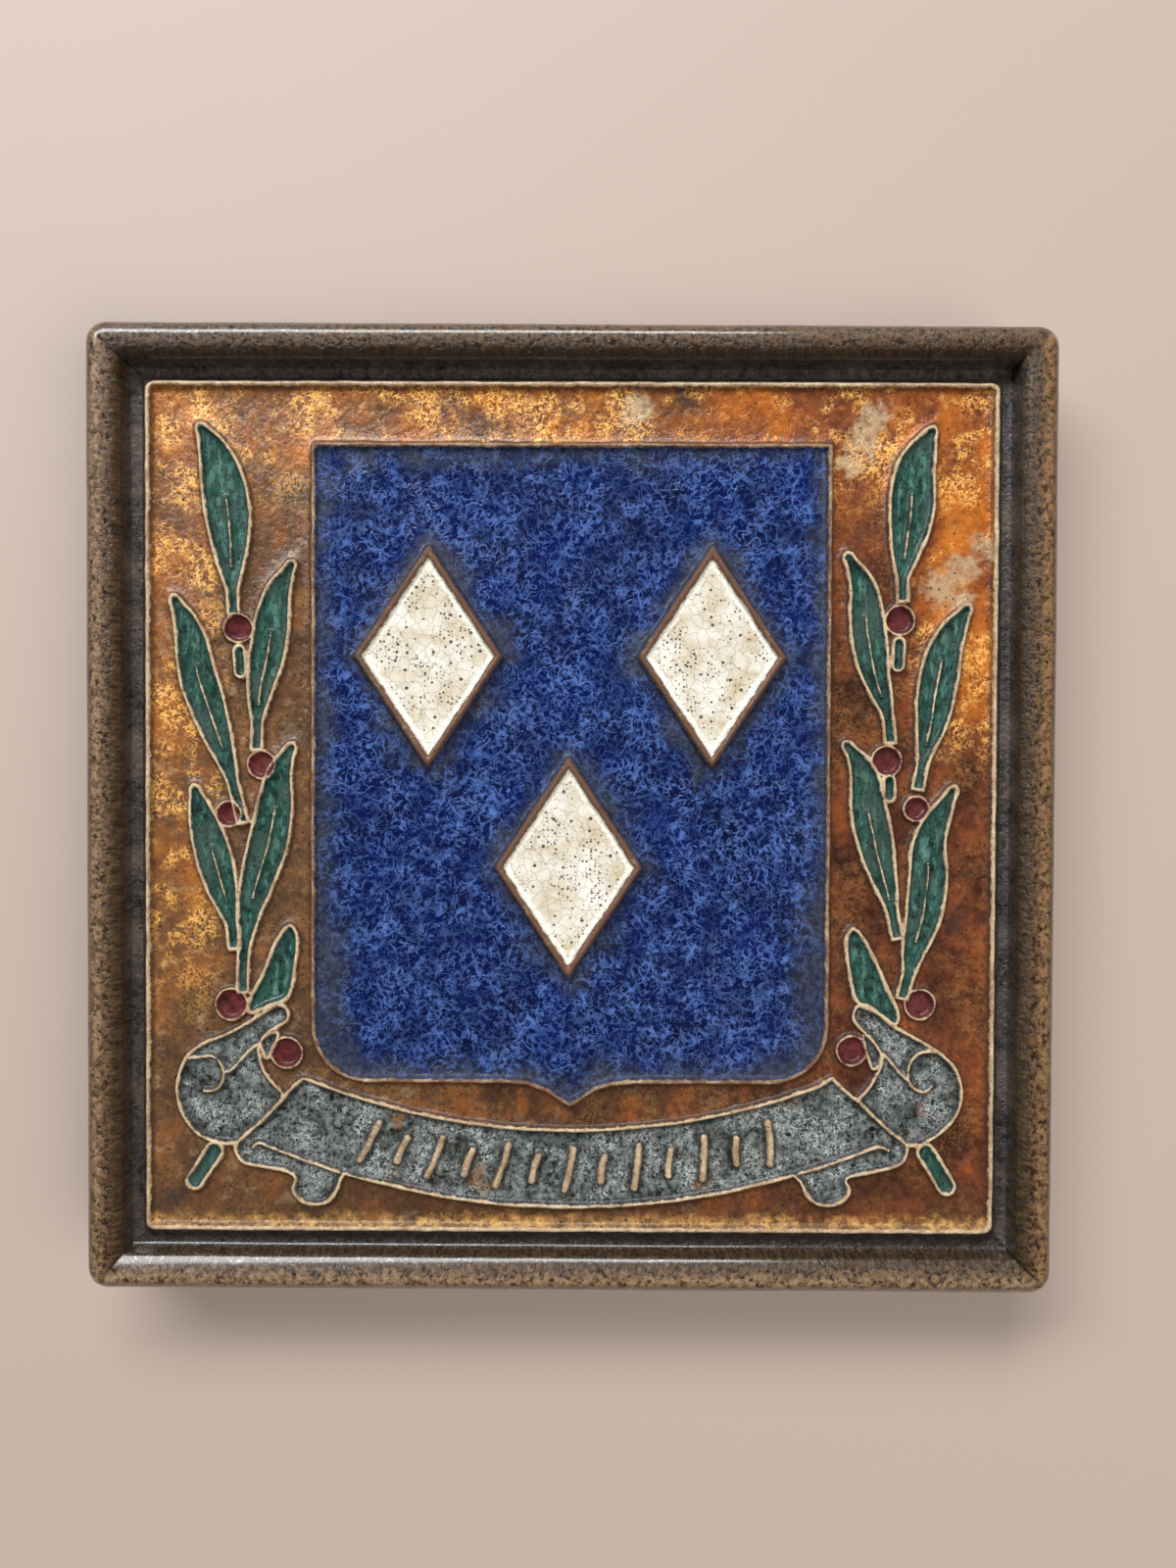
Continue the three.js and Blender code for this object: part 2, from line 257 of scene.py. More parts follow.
edit_with(blank, "FACE")
choose(blank.data.polygons, lambda f: f.normal.z > 0.9)
inset_top(outside_steps)
bpy.ops.mesh.remove_doubles(threshold=CORNER_MERGE * MM)
inset_top(inside_steps)
edit_with(blank, "EDGE")
choose(blank.data.edges, lambda e: all(blank.data.vertices[i].co.z < 1e-6 for i in e.vertices))
bpy.ops.mesh.bevel(offset=BACK_CHAMFER * MM, segments=3)
edit_with(blank, "EDGE")
runs = choose(blank.data.edges, lambda e: max(abs(span(e).x), abs(span(e).y)) > LONG_EDGE)
bpy.ops.mesh.subdivide(number_cuts=CUTS_ALONG)
edit_with(blank, "FACE")
bed_half = (PANEL - BED_MARGIN) * MM
choose(blank.data.polygons, lambda f: f.normal.z > 0.9 and abs(f.center.x) < bed_half
       and abs(f.center.y) < bed_half)
bpy.ops.mesh.dissolve_faces()
bpy.ops.object.mode_set(mode="OBJECT")
print("long edges divided", runs, "and faces now", len(blank.data.polygons))

# %% [markdown]
# A pressed and hand-trimmed rim is never straight. On this tile the crest of the lower rim lies
# further out than the others, so its inner face is broad and catches the window, and the upper
# edge runs a little downhill to the right. Each vertex moves by a slow noise and by those leans.
# The moves go inward only, so that the piece stays in the frame's box.

# %% Make the blank hand-made
SKEW_TOP = 0.14
SKEW_BOTTOM = 0.03
BOTTOM_LEAN = 0.65
LEAN_FROM = 0.8
LEAN_MOST = 2.3
LEAN_TO = 5.2
MITRE_SLACK = 0.1
FACE_FROM = 1.6
FACE_WIDTH = 2.2
FLATNESS = 0.85
WANDER = 0.08
WANDER_LENGTH = 17.0
DIMPLE = 0.05
DIMPLE_LENGTH = 2.6


def soft_noise(x, y, length, seed=0.0):
    """A smooth noise between -1 and 1 that changes over the given length in millimetres."""
    return noise.noise(Vector((x / length + seed, y / length - seed, seed)))


face_foot = shoulder - 0.3
for vertex in blank.data.vertices:
    x, y, z = (c / MM for c in vertex.co)
    edge_share = max(abs(x), abs(y)) / HALF
    up = z / CREST
    if edge_share < 0.9:
        continue
    slow = 0.5 + 0.5 * soft_noise(x, y, WANDER_LENGTH, 3.1)
    quick = 0.5 + 0.5 * soft_noise(x, y, DIMPLE_LENGTH, 7.7)
    inward = WANDER * slow + DIMPLE * quick
    if y < 0 and abs(x) < abs(y) + MITRE_SLACK:
        inset = HALF - abs(y)
        outward = max(inset - LEAN_FROM, 0) / (LEAN_MOST - LEAN_FROM)
        back_in = max(LEAN_TO - inset, 0) / (LEAN_TO - LEAN_MOST)
        y -= BOTTOM_LEAN * min(outward, back_in)
        share = min(max((HALF + y - FACE_FROM) / FACE_WIDTH, 0), 1) if z > face_foot else 0
        z -= FLATNESS * INNER_DROP * (share - 1 + math.sqrt(1 - share**2))
    x -= math.copysign(inward, x) * (abs(x) > 0.9 * HALF)
    y -= math.copysign(inward, y) * (abs(y) > 0.9 * HALF)
    skew = SKEW_TOP if y > 0 else SKEW_BOTTOM
    y -= skew * (x + math.copysign(HALF, y)) / HALF * (abs(y) / HALF) ** 2 * up
    z -= (0.6 * WANDER * slow + DIMPLE * quick) * (up > 0.8)
    vertex.co = Vector((x, y, z)) * MM
print("blank wandered by up to", WANDER + DIMPLE, "mm")

# %% [markdown]
# ## The drawing
# Every raised line starts as a path on the panel. A cell is a closed path with a glaze in it, and
# an open path is a vein, a fold or a stroke. The paths are drawn with few points and smoothed, as
# a hand draws: a leaf is only its bent centre line, its width and the place where it is widest.
# All places are in millimetres from the panel's centre.

# %% Paths
SAMPLE = 0.3
lines = []
cells = []


def even(points, closed=False):
    """The same path with its points a sample apart."""
    path = [np.array(p, float) for p in points]
    if closed:
        path.append(path[0])
    path = np.array(path)
    reach = np.concatenate([[0], np.cumsum(np.hypot(*np.diff(path, axis=0).T))])
    count = max(2, int(reach[-1] / SAMPLE) + 1)
    at = np.linspace(0, reach[-1], count + (1 if closed else 0))
    if closed:
        at = at[:-1]
    return np.stack([np.interp(at, reach, path[:, k]) for k in (0, 1)], 1)


def smooth(points, closed=False):
    """A smooth path through a few points."""
    p = [np.array(q, float) for q in points]
    n = len(p)
    out = []
    for i in range(n if closed else n - 1):
        ends = [p[(i + k) % n] if closed else p[min(max(i + k, 0), n - 1)] for k in (-1, 0, 1, 2)]
        a, b, c, d = ends
        for t in np.linspace(0, 1, 8, endpoint=False):
            out.append(0.5 * (2 * b + (c - a) * t + (2 * a - 5 * b + 4 * c - d) * t**2
                              + (3 * b - a - 3 * c + d) * t**3))
    if not closed:
        out.append(p[-1])
    return even(out, closed)


def draw(path, width=LINE_WIDTH, height=LINE_HEIGHT, cream=0.92):
    """Puts a raised line along a path. Cream is 1 for pale lines and 0 for brown ones."""
    lines.append({"path": path, "half": width / 2, "height": height, "cream": cream})


def cell(glaze, path, **line):
    """A closed raised line with a glaze inside it."""
    cells.append((glaze, len(lines)))
    draw(path, **line)


# %% Panel edge, shield and lozenges
SIDE_GAP = 18.7
TOP_GAP = 6.8
SHIELD_HALF = PANEL - SIDE_GAP - LINE_WIDTH / 2
SHIELD_TOP = PANEL - TOP_GAP - LINE_WIDTH / 2
SHIELD_BOTTOM = -30.9
SHIELD_POINT = -33.6
SHIELD_CORNER = 6.3
POINT_HALF = 7.5
LOZENGE_HALF = (7.95, 12.0)
LOZENGE_PLACES = ((-16.1, 17.2), (15.9, 17.2), (-0.2, -6.6))
LOZENGE_RISE = 0.35
EDGE_ROUND = 0.8
SHIELD_LINE = dict(width=0.7, height=0.6, cream=0.35)
EDGE_LINE = dict(width=0.8, cream=0.82)
LOZENGE_LINE = dict(width=1.0, height=LINE_HEIGHT + LOZENGE_RISE, cream=0.0)


def arc(centre, radius, start, stop, count=16):
    """Points on part of a circle, its angles in degrees."""
    turns = np.radians(np.linspace(start, stop, count))
    return [(centre[0] + radius * math.cos(t), centre[1] + radius * math.sin(t)) for t in turns]


inner = SHIELD_HALF - SHIELD_CORNER
foot = SHIELD_BOTTOM + SHIELD_CORNER
half_point = [(POINT_HALF, SHIELD_BOTTOM), (0.62 * POINT_HALF, SHIELD_BOTTOM - 0.25),
              (0.38 * POINT_HALF, SHIELD_BOTTOM - 0.9), (0, SHIELD_POINT)]
left_point = [(-x, y) for x, y in reversed(half_point[:-1])]
shield_path = even(
    half_point + left_point + arc((-inner, foot), SHIELD_CORNER, 270, 180)
    + [(-SHIELD_HALF, SHIELD_TOP), (SHIELD_HALF, SHIELD_TOP)]
    + arc((inner, foot), SHIELD_CORNER, 0, -90), closed=True)
cell("blue", shield_path, **SHIELD_LINE)

edge = PANEL - LINE_WIDTH / 2
round_edge = []
for quarter, (sx, sy) in enumerate(((1, 1), (-1, 1), (-1, -1), (1, -1))):
    centre = (sx * (edge - EDGE_ROUND), sy * (edge - EDGE_ROUND))
    round_edge += arc(centre, EDGE_ROUND, 90 * quarter, 90 * quarter + 90, 5)
PANEL_LINE = len(lines)
draw(even(round_edge, closed=True), **EDGE_LINE)

LOZENGE_LINES = {}
for x, y in LOZENGE_PLACES:
    w, h = LOZENGE_HALF
    LOZENGE_LINES[len(lines)] = (x, y)
    outline = [(x + w, y), (x, y + h), (x - w, y), (x, y - h)]
    cell("white", even(outline, closed=True), **LOZENGE_LINE)
print("shield", round(2 * SHIELD_HALF, 1), "mm wide with", len(LOZENGE_PLACES), "lozenges")

# %% Leaves, stalks and buds
LEAF_LINE = dict(width=0.66, height=0.62)
BROAD_LINE = dict(width=0.7, height=0.62)
STALK_LINE = dict(width=0.66, height=0.6)
VEIN_LINE = dict(width=0.42, height=0.45)
LEAF_INSET = 0.3
LEAF_FOOT = 0.62
LEAF_TIP = 0.55
TIP_BLUNTNESS = 0.45


def along(path, share):
    """The point at a share of a path's length and the direction across the path there."""
    at = share * (len(path) - 1)
    i = min(int(at), len(path) - 2)
    point = path[i] + (at - i) * (path[i + 1] - path[i])
    step = path[min(i + 2, len(path) - 1)] - path[max(i - 1, 0)]
    step = step / np.hypot(*step)
    return point, np.array([step[1], -step[0]])


def leaf(centre, width, belly=0.57, vein=(0.25, 0.62)):
    """A leaf on a bent centre line, widest at its belly, with a vein over part of it."""
    middle = smooth(centre)
    power = math.log(0.5) / math.log(belly)
    right, left = [], []
    for share in np.linspace(0, 1, 26):
        swell = math.sin(math.pi * min(share, 0.999) ** power) ** (1.05 - TIP_BLUNTNESS * share)
        reach = max((width / 2 - LEAF_INSET) * swell, LEAF_FOOT + (LEAF_TIP - LEAF_FOOT) * share)
        point, across = along(middle, share)
        right.append(point + across * reach)
        left.insert(0, point - across * reach)
    tip = point + 0.8 * LEAF_TIP * np.array([-across[1], across[0]])
    cell("green", even(right + [tip] + left, closed=True), **LEAF_LINE)
    if vein:
        first, last = (int(share * (len(middle) - 1)) for share in vein)
        draw(middle[first:last + 1], **VEIN_LINE)


LEFT_LEAVES = (
    dict(centre=((-38.1, 21.9), (-38.4, 27), (-38.8, 33.5), (-40, 39.3), (-41.9, 43)), width=5.7),
    dict(centre=((-35.5, 6.6), (-35.3, 12), (-34.2, 18), (-33.2, 24), (-31.5, 27.6)), width=4.6),
    dict(centre=((-37.1, -1.7), (-38.5, 4), (-40.2, 9), (-42.1, 14.7), (-43.2, 20), (-44.9, 23.7)),
         width=4.8, belly=0.62, vein=(0.33, 0.7)),
    dict(centre=((-38, -16), (-38.5, -12.5), (-39.6, -8.5), (-41.1, -3), (-42.6, 2.2)),
         width=4.6, vein=(0.3, 0.64)),
    dict(centre=((-37.1, -21), (-37, -17), (-36.4, -12), (-35.4, -8), (-34.2, -4), (-33.5, 0),
                 (-32.9, 4), (-31.5, 7)), width=5.0, belly=0.62, vein=(0.38, 0.74)),
)
RIGHT_LEAVES = (
    dict(centre=((37.4, 23.6), (37.4, 27), (38.2, 33), (38.7, 38.5), (40.6, 42.9)), width=5.6),
    dict(centre=((36.1, 7.6), (35.7, 11), (34.3, 15.5), (33.5, 20), (32.9, 25), (31.1, 28.7)),
         width=4.5, vein=(0.25, 0.68)),
    dict(centre=((39.2, 2.4), (39.9, 6), (40.7, 10), (41.4, 14.5), (42.5, 19), (44.7, 23)),
         width=4.9, vein=(0.25, 0.7)),
    dict(centre=((37.1, -14.5), (36, -9.5), (34.8, -5), (33.7, 0), (33, 4.5), (31.1, 7.5)),
         width=4.7, vein=(0.2, 0.65)),
    dict(centre=((37.7, -21.3), (38.4, -18.4), (39, -15.6), (40, -12), (40.5, -7.5), (40.7, -3),
                 (43.3, 2.4)), width=4.9, belly=0.53, vein=(0.28, 0.64)),
)
STALKS = ((-40.3, -39, -42.6, -42.5), (40.5, -38.8, 42.9, -42.7))
STALK_HALF = 0.92
BUDS = ((-37.5, 17.7, -37.3, 15.4), (37, 18.9, 36.9, 16.4), (36, 3.4, 36.1, 1.6))
BUD_HALF = 0.62

BROAD_LEAVES = (((-31.5, -13.4), (-30.9, -14.9), (-31.2, -18), (-31.9, -21.4), (-34.2, -22.5),
                 (-36.2, -23.3), (-36.4, -22), (-35, -19.2), (-33.6, -15.8), (-32.4, -13.8)),
                ((31.9, -13.5), (31.3, -15), (31.6, -18.1), (32.5, -21.6), (34.8, -22.9),
                 (36.9, -24.2), (37.1, -22.6), (35.7, -19.6), (34.2, -16.2), (32.8, -13.9)))
for shape in LEFT_LEAVES + RIGHT_LEAVES:
    leaf(**shape)
for shape in BROAD_LEAVES:
    cell("green", smooth(shape, closed=True), **BROAD_LINE)
for ax, ay, bx, by in STALKS + BUDS:
    half = STALK_HALF if (ax, ay, bx, by) in STALKS else BUD_HALF
    turn = math.degrees(math.atan2(by - ay, bx - ax))
    ends = arc((bx, by), half, turn - 90, turn + 90) + arc((ax, ay), half, turn + 90, turn + 270)
    cell("green", even(ends, closed=True), **STALK_LINE)
print("leaves, stalks and buds", sum(glaze == "green" for glaze, _ in cells))

# %% Ribbon and scrolls
RIBBON_RADIUS = 80.5
RIBBON_CENTRE = 44.2
RIBBON_TOP = 0.2
RIBBON_BOTTOM = 8.95
BAND_LINE = dict(width=0.66, height=0.6)
FOLD_WIDTH = 0.6
SCROLL_LINE = dict(width=0.62, height=0.62)
CREASE_LINE = dict(width=0.56, height=0.58)


def ribbon_arc(below, start, stop, count=40):
    """Points along the ribbon at a distance below its upper edge, from one angle to another."""
    return arc((0, RIBBON_CENTRE), RIBBON_RADIUS + below, start - 90, stop - 90, count)


LEFT_FOLD = ((-30.2, -30.7), (-31.6, -31.9), (-33, -33.6), (-35.2, -35.8), (-37.6, -37.9),
             (-37.9, -39.1), (-36.9, -40.4), (-34.2, -40.9), (-32.2, -41.3), (-31.1, -42.1),
             (-31.4, -43.5), (-30.5, -44.7), (-29, -45.1), (-27.5, -44.8), (-26.6, -43.8),
             (-26.1, -42.4))
RIGHT_FOLD = ((29.8, -30.4), (31.4, -31.9), (33.2, -33.4), (35, -35.2), (36.8, -36.7), (38.2, -37.8),
              (38.3, -39.1), (37.5, -40.2), (34.5, -41.1), (31.5, -41.8), (31.9, -43.2), (31.1, -44.5),
              (29.6, -45), (28.1, -44.7), (27.1, -43.8), (26.4, -42.3))
top_edge = ribbon_arc(RIBBON_TOP, 20.6, -20.6)
bottom_edge = ribbon_arc(RIBBON_BOTTOM, -16.6, 16.6)
left_fold = [tuple(p) for p in smooth(LEFT_FOLD)]
right_fold = [tuple(p) for p in smooth(RIGHT_FOLD)]
band_path = even(top_edge + left_fold + bottom_edge + right_fold[::-1], closed=True)
cell("grey", band_path, **BAND_LINE)
for near_fold, turn in (([(-35.9, -38.6), (-35.2, -38.1)], (-22.3, -17)),
                        ([(36.2, -38.6), (35.2, -38.2)], (22.0, 17))):
    draw(smooth(near_fold + ribbon_arc(RIBBON_BOTTOM, *turn, 7)), width=FOLD_WIDTH)

LEFT_SCROLL = ((-32.6, -32.4), (-33.7, -31.3), (-34.7, -29.8), (-35.2, -28.2), (-35.2, -26.8),
               (-34.2, -25.5), (-32.9, -24.7), (-31.9, -23.9), (-32.2, -22.7), (-33.4, -22.4),
               (-35, -23.4), (-37, -24.7), (-39.2, -25.8), (-41.6, -26.8), (-43.4, -28.2),
               (-44.4, -30.5), (-44.5, -33), (-43.6, -35.4), (-41.8, -37.3), (-39.6, -38.1),
               (-37.6, -37.9), (-35.2, -35.8), (-33, -33.6))
RIGHT_SCROLL = ((33, -32.6), (34, -31.5), (34.8, -30.1), (35.4, -28.6), (35.1, -27), (34, -25.7),
                (33, -24.8), (32.2, -23.7), (32.4, -22.4), (33.5, -22), (34.8, -22.8), (36.5, -24.3),
                (38.2, -25.3), (39.9, -26.2), (42, -27.5), (43.7, -29.2), (44.5, -31.6),
                (44.1, -34), (43, -35.8), (41.3, -37.2), (39.6, -38), (38.2, -37.8), (36.8, -36.7),
                (35, -35.2), (33.2, -33.4))
SCROLL_LINES = (
    ((-35.2, -26.7), (-36.3, -27.5), (-37.5, -28.8), (-38.5, -29.9), (-39.3, -30)),
    ((-43.5, -28.5), (-42, -28.3), (-40.6, -28.2), (-39.7, -29), (-39.3, -30), (-39.3, -31),
     (-39.9, -31.9), (-40.7, -32.2), (-41.5, -32.2)),
    ((35.3, -27.3), (36.4, -28.5), (37.4, -29.7), (38.4, -30.6)),
    ((41.6, -27.4), (40, -27.4), (38.9, -28.2), (38.4, -29.4), (38.6, -30.8), (39.4, -31.7),
     (40.4, -31.9), (41.1, -31.3)),
)
SMALL_FOLDS = (((-35, -26.7), (-34.2, -25.7), (-33.1, -25.5), (-33.4, -26.9), (-34.4, -28.5)),
               ((33.3, -25.6), (34.4, -26.2), (35.4, -28), (34.5, -29.4), (33.8, -27.8)))
for points in (LEFT_SCROLL, RIGHT_SCROLL) + SMALL_FOLDS:
    cell("grey", smooth(points, closed=True), **SCROLL_LINE)
for points in SCROLL_LINES:
    draw(smooth(points), **CREASE_LINE)
print("ribbon", round(abs(bottom_edge[0][0] - bottom_edge[-1][0]), 1), "mm along its lower edge")

# %% Berries
BERRY_LINE = dict(width=0.5, height=0.55)
BERRIES = ((-37.6, 20.3, 1.35), (-35, 4.9, 1.3), (-38.7, -0.7, 1.15), (-38.4, -22.3, 1.5),
           (-32.1, -27.8, 1.5), (37.1, 21.5, 1.4), (35.7, 5.6, 1.4), (39.1, 0.2, 1.15),
           (39.7, -22, 1.45), (32, -27.3, 1.4))
for x, y, radius in BERRIES:
    ring = arc((x, y), radius + BERRY_LINE["width"] / 2, 0, 345, 24)
    cell("red", even(ring, closed=True), **BERRY_LINE)
print("berries", len(BERRIES))

# %% [markdown]
# The ribbon's middle holds a row of plain leaning strokes, long and short by turns. They are
# raised like the other lines and stand for no letters.

# %% Strokes on the ribbon
STROKES = 13
STROKE_ROW = 46.0
STROKE_LENGTH = 4.8
STROKE_LINE = dict(width=1.0, height=0.75, cream=0.75)
STROKE_LEAN = 12.0
STROKE_BEND = 0.12
SHORT_SHARE = 0.6
MIDDLE_BELOW = 4.65
middle_radius = RIBBON_RADIUS + MIDDLE_BELOW
for i in range(STROKES):
    turn = (i - (STROKES - 1) / 2) * STROKE_ROW / (STROKES - 1) / middle_radius
    reach = STROKE_LENGTH / 2 * (1 if i % 2 == 0 else SHORT_SHARE)
    lean = turn - math.radians(STROKE_LEAN)
    x, y = middle_radius * math.sin(turn), RIBBON_CENTRE - middle_radius * math.cos(turn)
    dx, dy = -reach * math.sin(lean), reach * math.cos(lean)
    bend = STROKE_BEND * (-1) ** i
    stroke = smooth([(x - dx, y - dy), (x + bend, y), (x + dx, y + dy)])
    draw(stroke, **STROKE_LINE)
print("strokes", STROKES)

# %% [markdown]
# ## From drawing to relief
# A sculptor would model the relief on a dense grid, but a square grid of this size would need a
# million faces before a line 0.7 mm wide looks clean. Here the points are laid where the form
# needs them: in rows along every line, and in a loose lattice on the open glaze. A Delaunay net
# joins them. Each line gets a rounded crest, and the glaze climbs a little where it meets clay,
# as melted glaze does.

# %% Lines that wander as a hand does
LINE_WANDER = 0.07
LINE_WAVE = 2.2
for item in lines:
    shift = [[soft_noise(x, y, LINE_WAVE, seed) for seed in (11.3, 23.9)] for x, y in item["path"]]
    item["path"] = item["path"] + LINE_WANDER * np.array(shift)
line_points = np.concatenate([item["path"] for item in lines])
line_number = np.concatenate([np.full(len(item["path"]), i) for i, item in enumerate(lines)])
line_half = np.array([item["half"] for item in lines])
line_height = np.array([item["height"] for item in lines])
line_cream = np.array([item["cream"] for item in lines])
line_tree = KDTree(len(line_points))
for i, (x, y) in enumerate(line_points):
    line_tree.insert((x, y, 0), i)
line_tree.balance()
print("raised lines", len(lines), "and", round(len(line_points) * SAMPLE / 1000, 2), "m in all")

# %% Points in rows along the lines
FACE_HALF = PANEL + 0.75
ROWS = (0, 0.17, 0.34, 0.52, 0.78, 1.15)
CLOSEST = 0.125
LATTICE = 0.72
GAP_LATTICE = 0.34
GAP = 0.27
LATTICE_ROW = 0.866
ROW_SLACK = 0.06
BORDER_GAP = 0.15
BORDER_POINTS = 160
taken = {}
net_points = []


def off_crest(x, y):
    """The distance from a place to the nearest line's crest."""
    return line_tree.find((x, y, 0))[2]


def lay(x, y, gap=CLOSEST):
    """Adds a point to the net unless one is already nearer than the gap."""
    if max(abs(x), abs(y)) > FACE_HALF - BORDER_GAP:
        return
    i, j = round(x / CLOSEST), round(y / CLOSEST)
    reach = range(-math.ceil(gap / CLOSEST), math.ceil(gap / CLOSEST) + 1)
    for di in reach:
        for dj in reach:
            near = taken.get((i + di, j + dj))
            if near and math.hypot(near[0] - x, near[1] - y) < gap:
                return
    taken[i, j] = (x, y)
    net_points.append((x, y))


def lay_rows():
    """Lays each row on both sides of every line and round its ends, the crests first."""
    for row in ROWS:
        for item in lines:
            path = item["path"]
            for end in (path[0], path[-1]) if row else ():
                for x, y in arc(end, row, 0, 330, 12):
                    if off_crest(x, y) > row - ROW_SLACK:
                        lay(x, y)
            step = np.gradient(path, axis=0)
            across = np.stack([step[:, 1], -step[:, 0]], 1) / np.hypot(*step.T)[:, None]
            for side in ((1, -1) if row else (1,)):
                for x, y in path + side * row * across:
                    if not row or off_crest(x, y) > row - ROW_SLACK:
                        lay(x, y)


def lay_lattice(pitch, gap, nearest, farthest):
    """Lays a loose three-way lattice where the nearest line is neither too near nor too far."""
    rng = random.Random(4)
    loose = 0.14 * pitch
    for j in range(int(2 * FACE_HALF / (pitch * LATTICE_ROW)) + 1):
        for i in range(int(2 * FACE_HALF / pitch) + 1):
            x = -FACE_HALF + (i + 0.5 * (j % 2)) * pitch + rng.uniform(-loose, loose)
            y = -FACE_HALF + j * pitch * LATTICE_ROW + rng.uniform(-loose, loose)
            if nearest < off_crest(x, y) < farthest:
                lay(x, y, gap)


lay_rows()
lay_lattice(GAP_LATTICE, GAP, ROWS[2], ROWS[-1] + 0.1)
lay_lattice(LATTICE, CLOSEST, ROWS[-1] + 0.3, FACE_HALF)
border = np.linspace(-FACE_HALF, FACE_HALF, BORDER_POINTS)[:-1]
for t in border:
    net_points += [(t, -FACE_HALF), (FACE_HALF, t), (-t, FACE_HALF), (-FACE_HALF, -t)]
print("points in the net", len(net_points))

# %% Join the points
net = delaunay_2d_cdt([Vector(p) for p in net_points], [], [], 0, 1e-5)
flat = np.array([tuple(v) for v in net[0]])
triangles = np.array([t for t in net[2]])
middles = flat[triangles].mean(axis=1)
print("triangles", len(triangles))

# %% Which glaze each triangle belongs to
GLAZES = ("amber", "blue", "white", "green", "grey", "red", "edge")


def inside(path, points):
    """Says for each point whether it lies inside a closed path."""
    low_corner, high_corner = path.min(0), path.max(0)
    near = np.all((points > low_corner) & (points < high_corner), axis=1)
    found = np.zeros(len(points), bool)
    x, y = points[near].T
    odd = np.zeros(len(x), bool)
    for (ax, ay), (bx, by) in zip(path, np.roll(path, -1, 0)):
        if ay != by:
            crosses = (ay > y) != (by > y)
            odd ^= crosses & (x < (bx - ax) * (y - ay) / (by - ay) + ax)
    found[near] = odd
    return found


owner = np.zeros(len(triangles), int)
for order in ("blue", "white", "grey", "green", "red"):
    for glaze, number in cells:
        if glaze == order:
            owner[inside(lines[number]["path"], middles)] = GLAZES.index(glaze)
owner[~inside(lines[PANEL_LINE]["path"], middles)] = GLAZES.index("edge")
print({name: int((owner == i).sum()) for i, name in enumerate(GLAZES)})

# %% Heights
LINE_REACH = 2.4
MENISCUS = 0.26
FULL_HALF = 0.3
MENISCUS_REACH = 0.6
CREST_POWER = 0.6
MITRE_SHARE = 0.8
EDGE_FALL = 0.85
BERRY_SINK = 0.15
POOL_SINK = 0.15
SWELL = 0.06
WIDTH_CHANGE = ((0.16, 1.7, 5.5), (0.08, 0.6, 8.5))
HEIGHT_CHANGE = (0.16, 2.1, 1.5)
LOZENGE_CLIMB = 0.4
FALL_FROM = 0.35

base = np.full(len(flat), -POOL_SINK)
for glaze, number in cells:
    if glaze in ("white", "red"):
        pool = inside(lines[number]["path"], flat)
        base[pool] += LOZENGE_RISE + POOL_SINK if glaze == "white" else -BERRY_SINK
beyond = ~inside(lines[PANEL_LINE]["path"], flat)


def mitred(x, y, centre):
    """Distance from a lozenge's outline that stays sharp at its four corners."""
    w, h = LOZENGE_HALF
    return abs(abs(x - centre[0]) * h + abs(y - centre[1]) * w - w * h) / math.hypot(w, h)


def line_form(x, y, bottom):
    """Rise over the panel, distance past the nearest line's side, and that line's paleness."""
    nearest = {}
    for _, i, distance in line_tree.find_range((x, y, 0), LINE_REACH):
        number = line_number[i]
        if distance < nearest.get(number, LINE_REACH):
            nearest[number] = distance
    for number in nearest.keys() & LOZENGE_LINES.keys():
        nearest[number] = max(mitred(x, y, LOZENGE_LINES[number]), MITRE_SHARE * nearest[number])
    wide = 1 + sum(much * soft_noise(x, y, length, seed) for much, length, seed in WIDTH_CHANGE)
    tall = 1 + HEIGHT_CHANGE[0] * soft_noise(x, y, *HEIGHT_CHANGE[1:])
    rise, past, pale = bottom, LINE_REACH, 0.0
    if not nearest:
        past = off_crest(x, y) - LINE_WIDTH / 2
    for number, distance in nearest.items():
        half = line_half[number] * wide
        top = line_height[number] * tall
        side = distance - half
        climb = MENISCUS * min(1, half / FULL_HALF) ** 2
        climb *= LOZENGE_CLIMB if number in LOZENGE_LINES else 1
        foot_rise = bottom + climb * math.exp(-max(side, 0) / MENISCUS_REACH)
        if side < 0:
            foot_rise += (top - foot_rise) * (1 - (distance / half) ** 2) ** CREST_POWER
        rise = max(rise, foot_rise)
        if side <= past:
            past, pale = side, line_cream[number]
    return rise, past, pale


forms = np.array([line_form(x, y, bottom) for (x, y), bottom in zip(flat, base)])
height = PANEL_TOP + forms[:, 0]
height += SWELL * np.array([soft_noise(x, y, 8.0, 2.2) for x, y in flat])
for i in np.flatnonzero(beyond):
    x, y = flat[i]
    distance = max(abs(x), abs(y)) - (PANEL - LINE_WIDTH / 2)
    share = min(max(distance, 0) / EDGE_FALL, 1)
    low = FLOOR_OF_CHANNEL - BEDDING / 2
    if share > FALL_FROM:
        height[i] = low + (height[i] - low) * (1 - share**2) ** CREST_POWER
print("relief from", round(height.min(), 2), "to", round(height.max(), 2), "mm")

# %% [markdown]
# The relief is now cut along the crests of its lines into one piece for each glaze, as a potter
# thinks of it. The colour changes on a crest, where the clay line hides the seam. Each piece gets
# a wall and a flat back, so that it is closed. The smooth normals of the whole relief are kept on
# the cut pieces, because without them each seam would show as a crease.

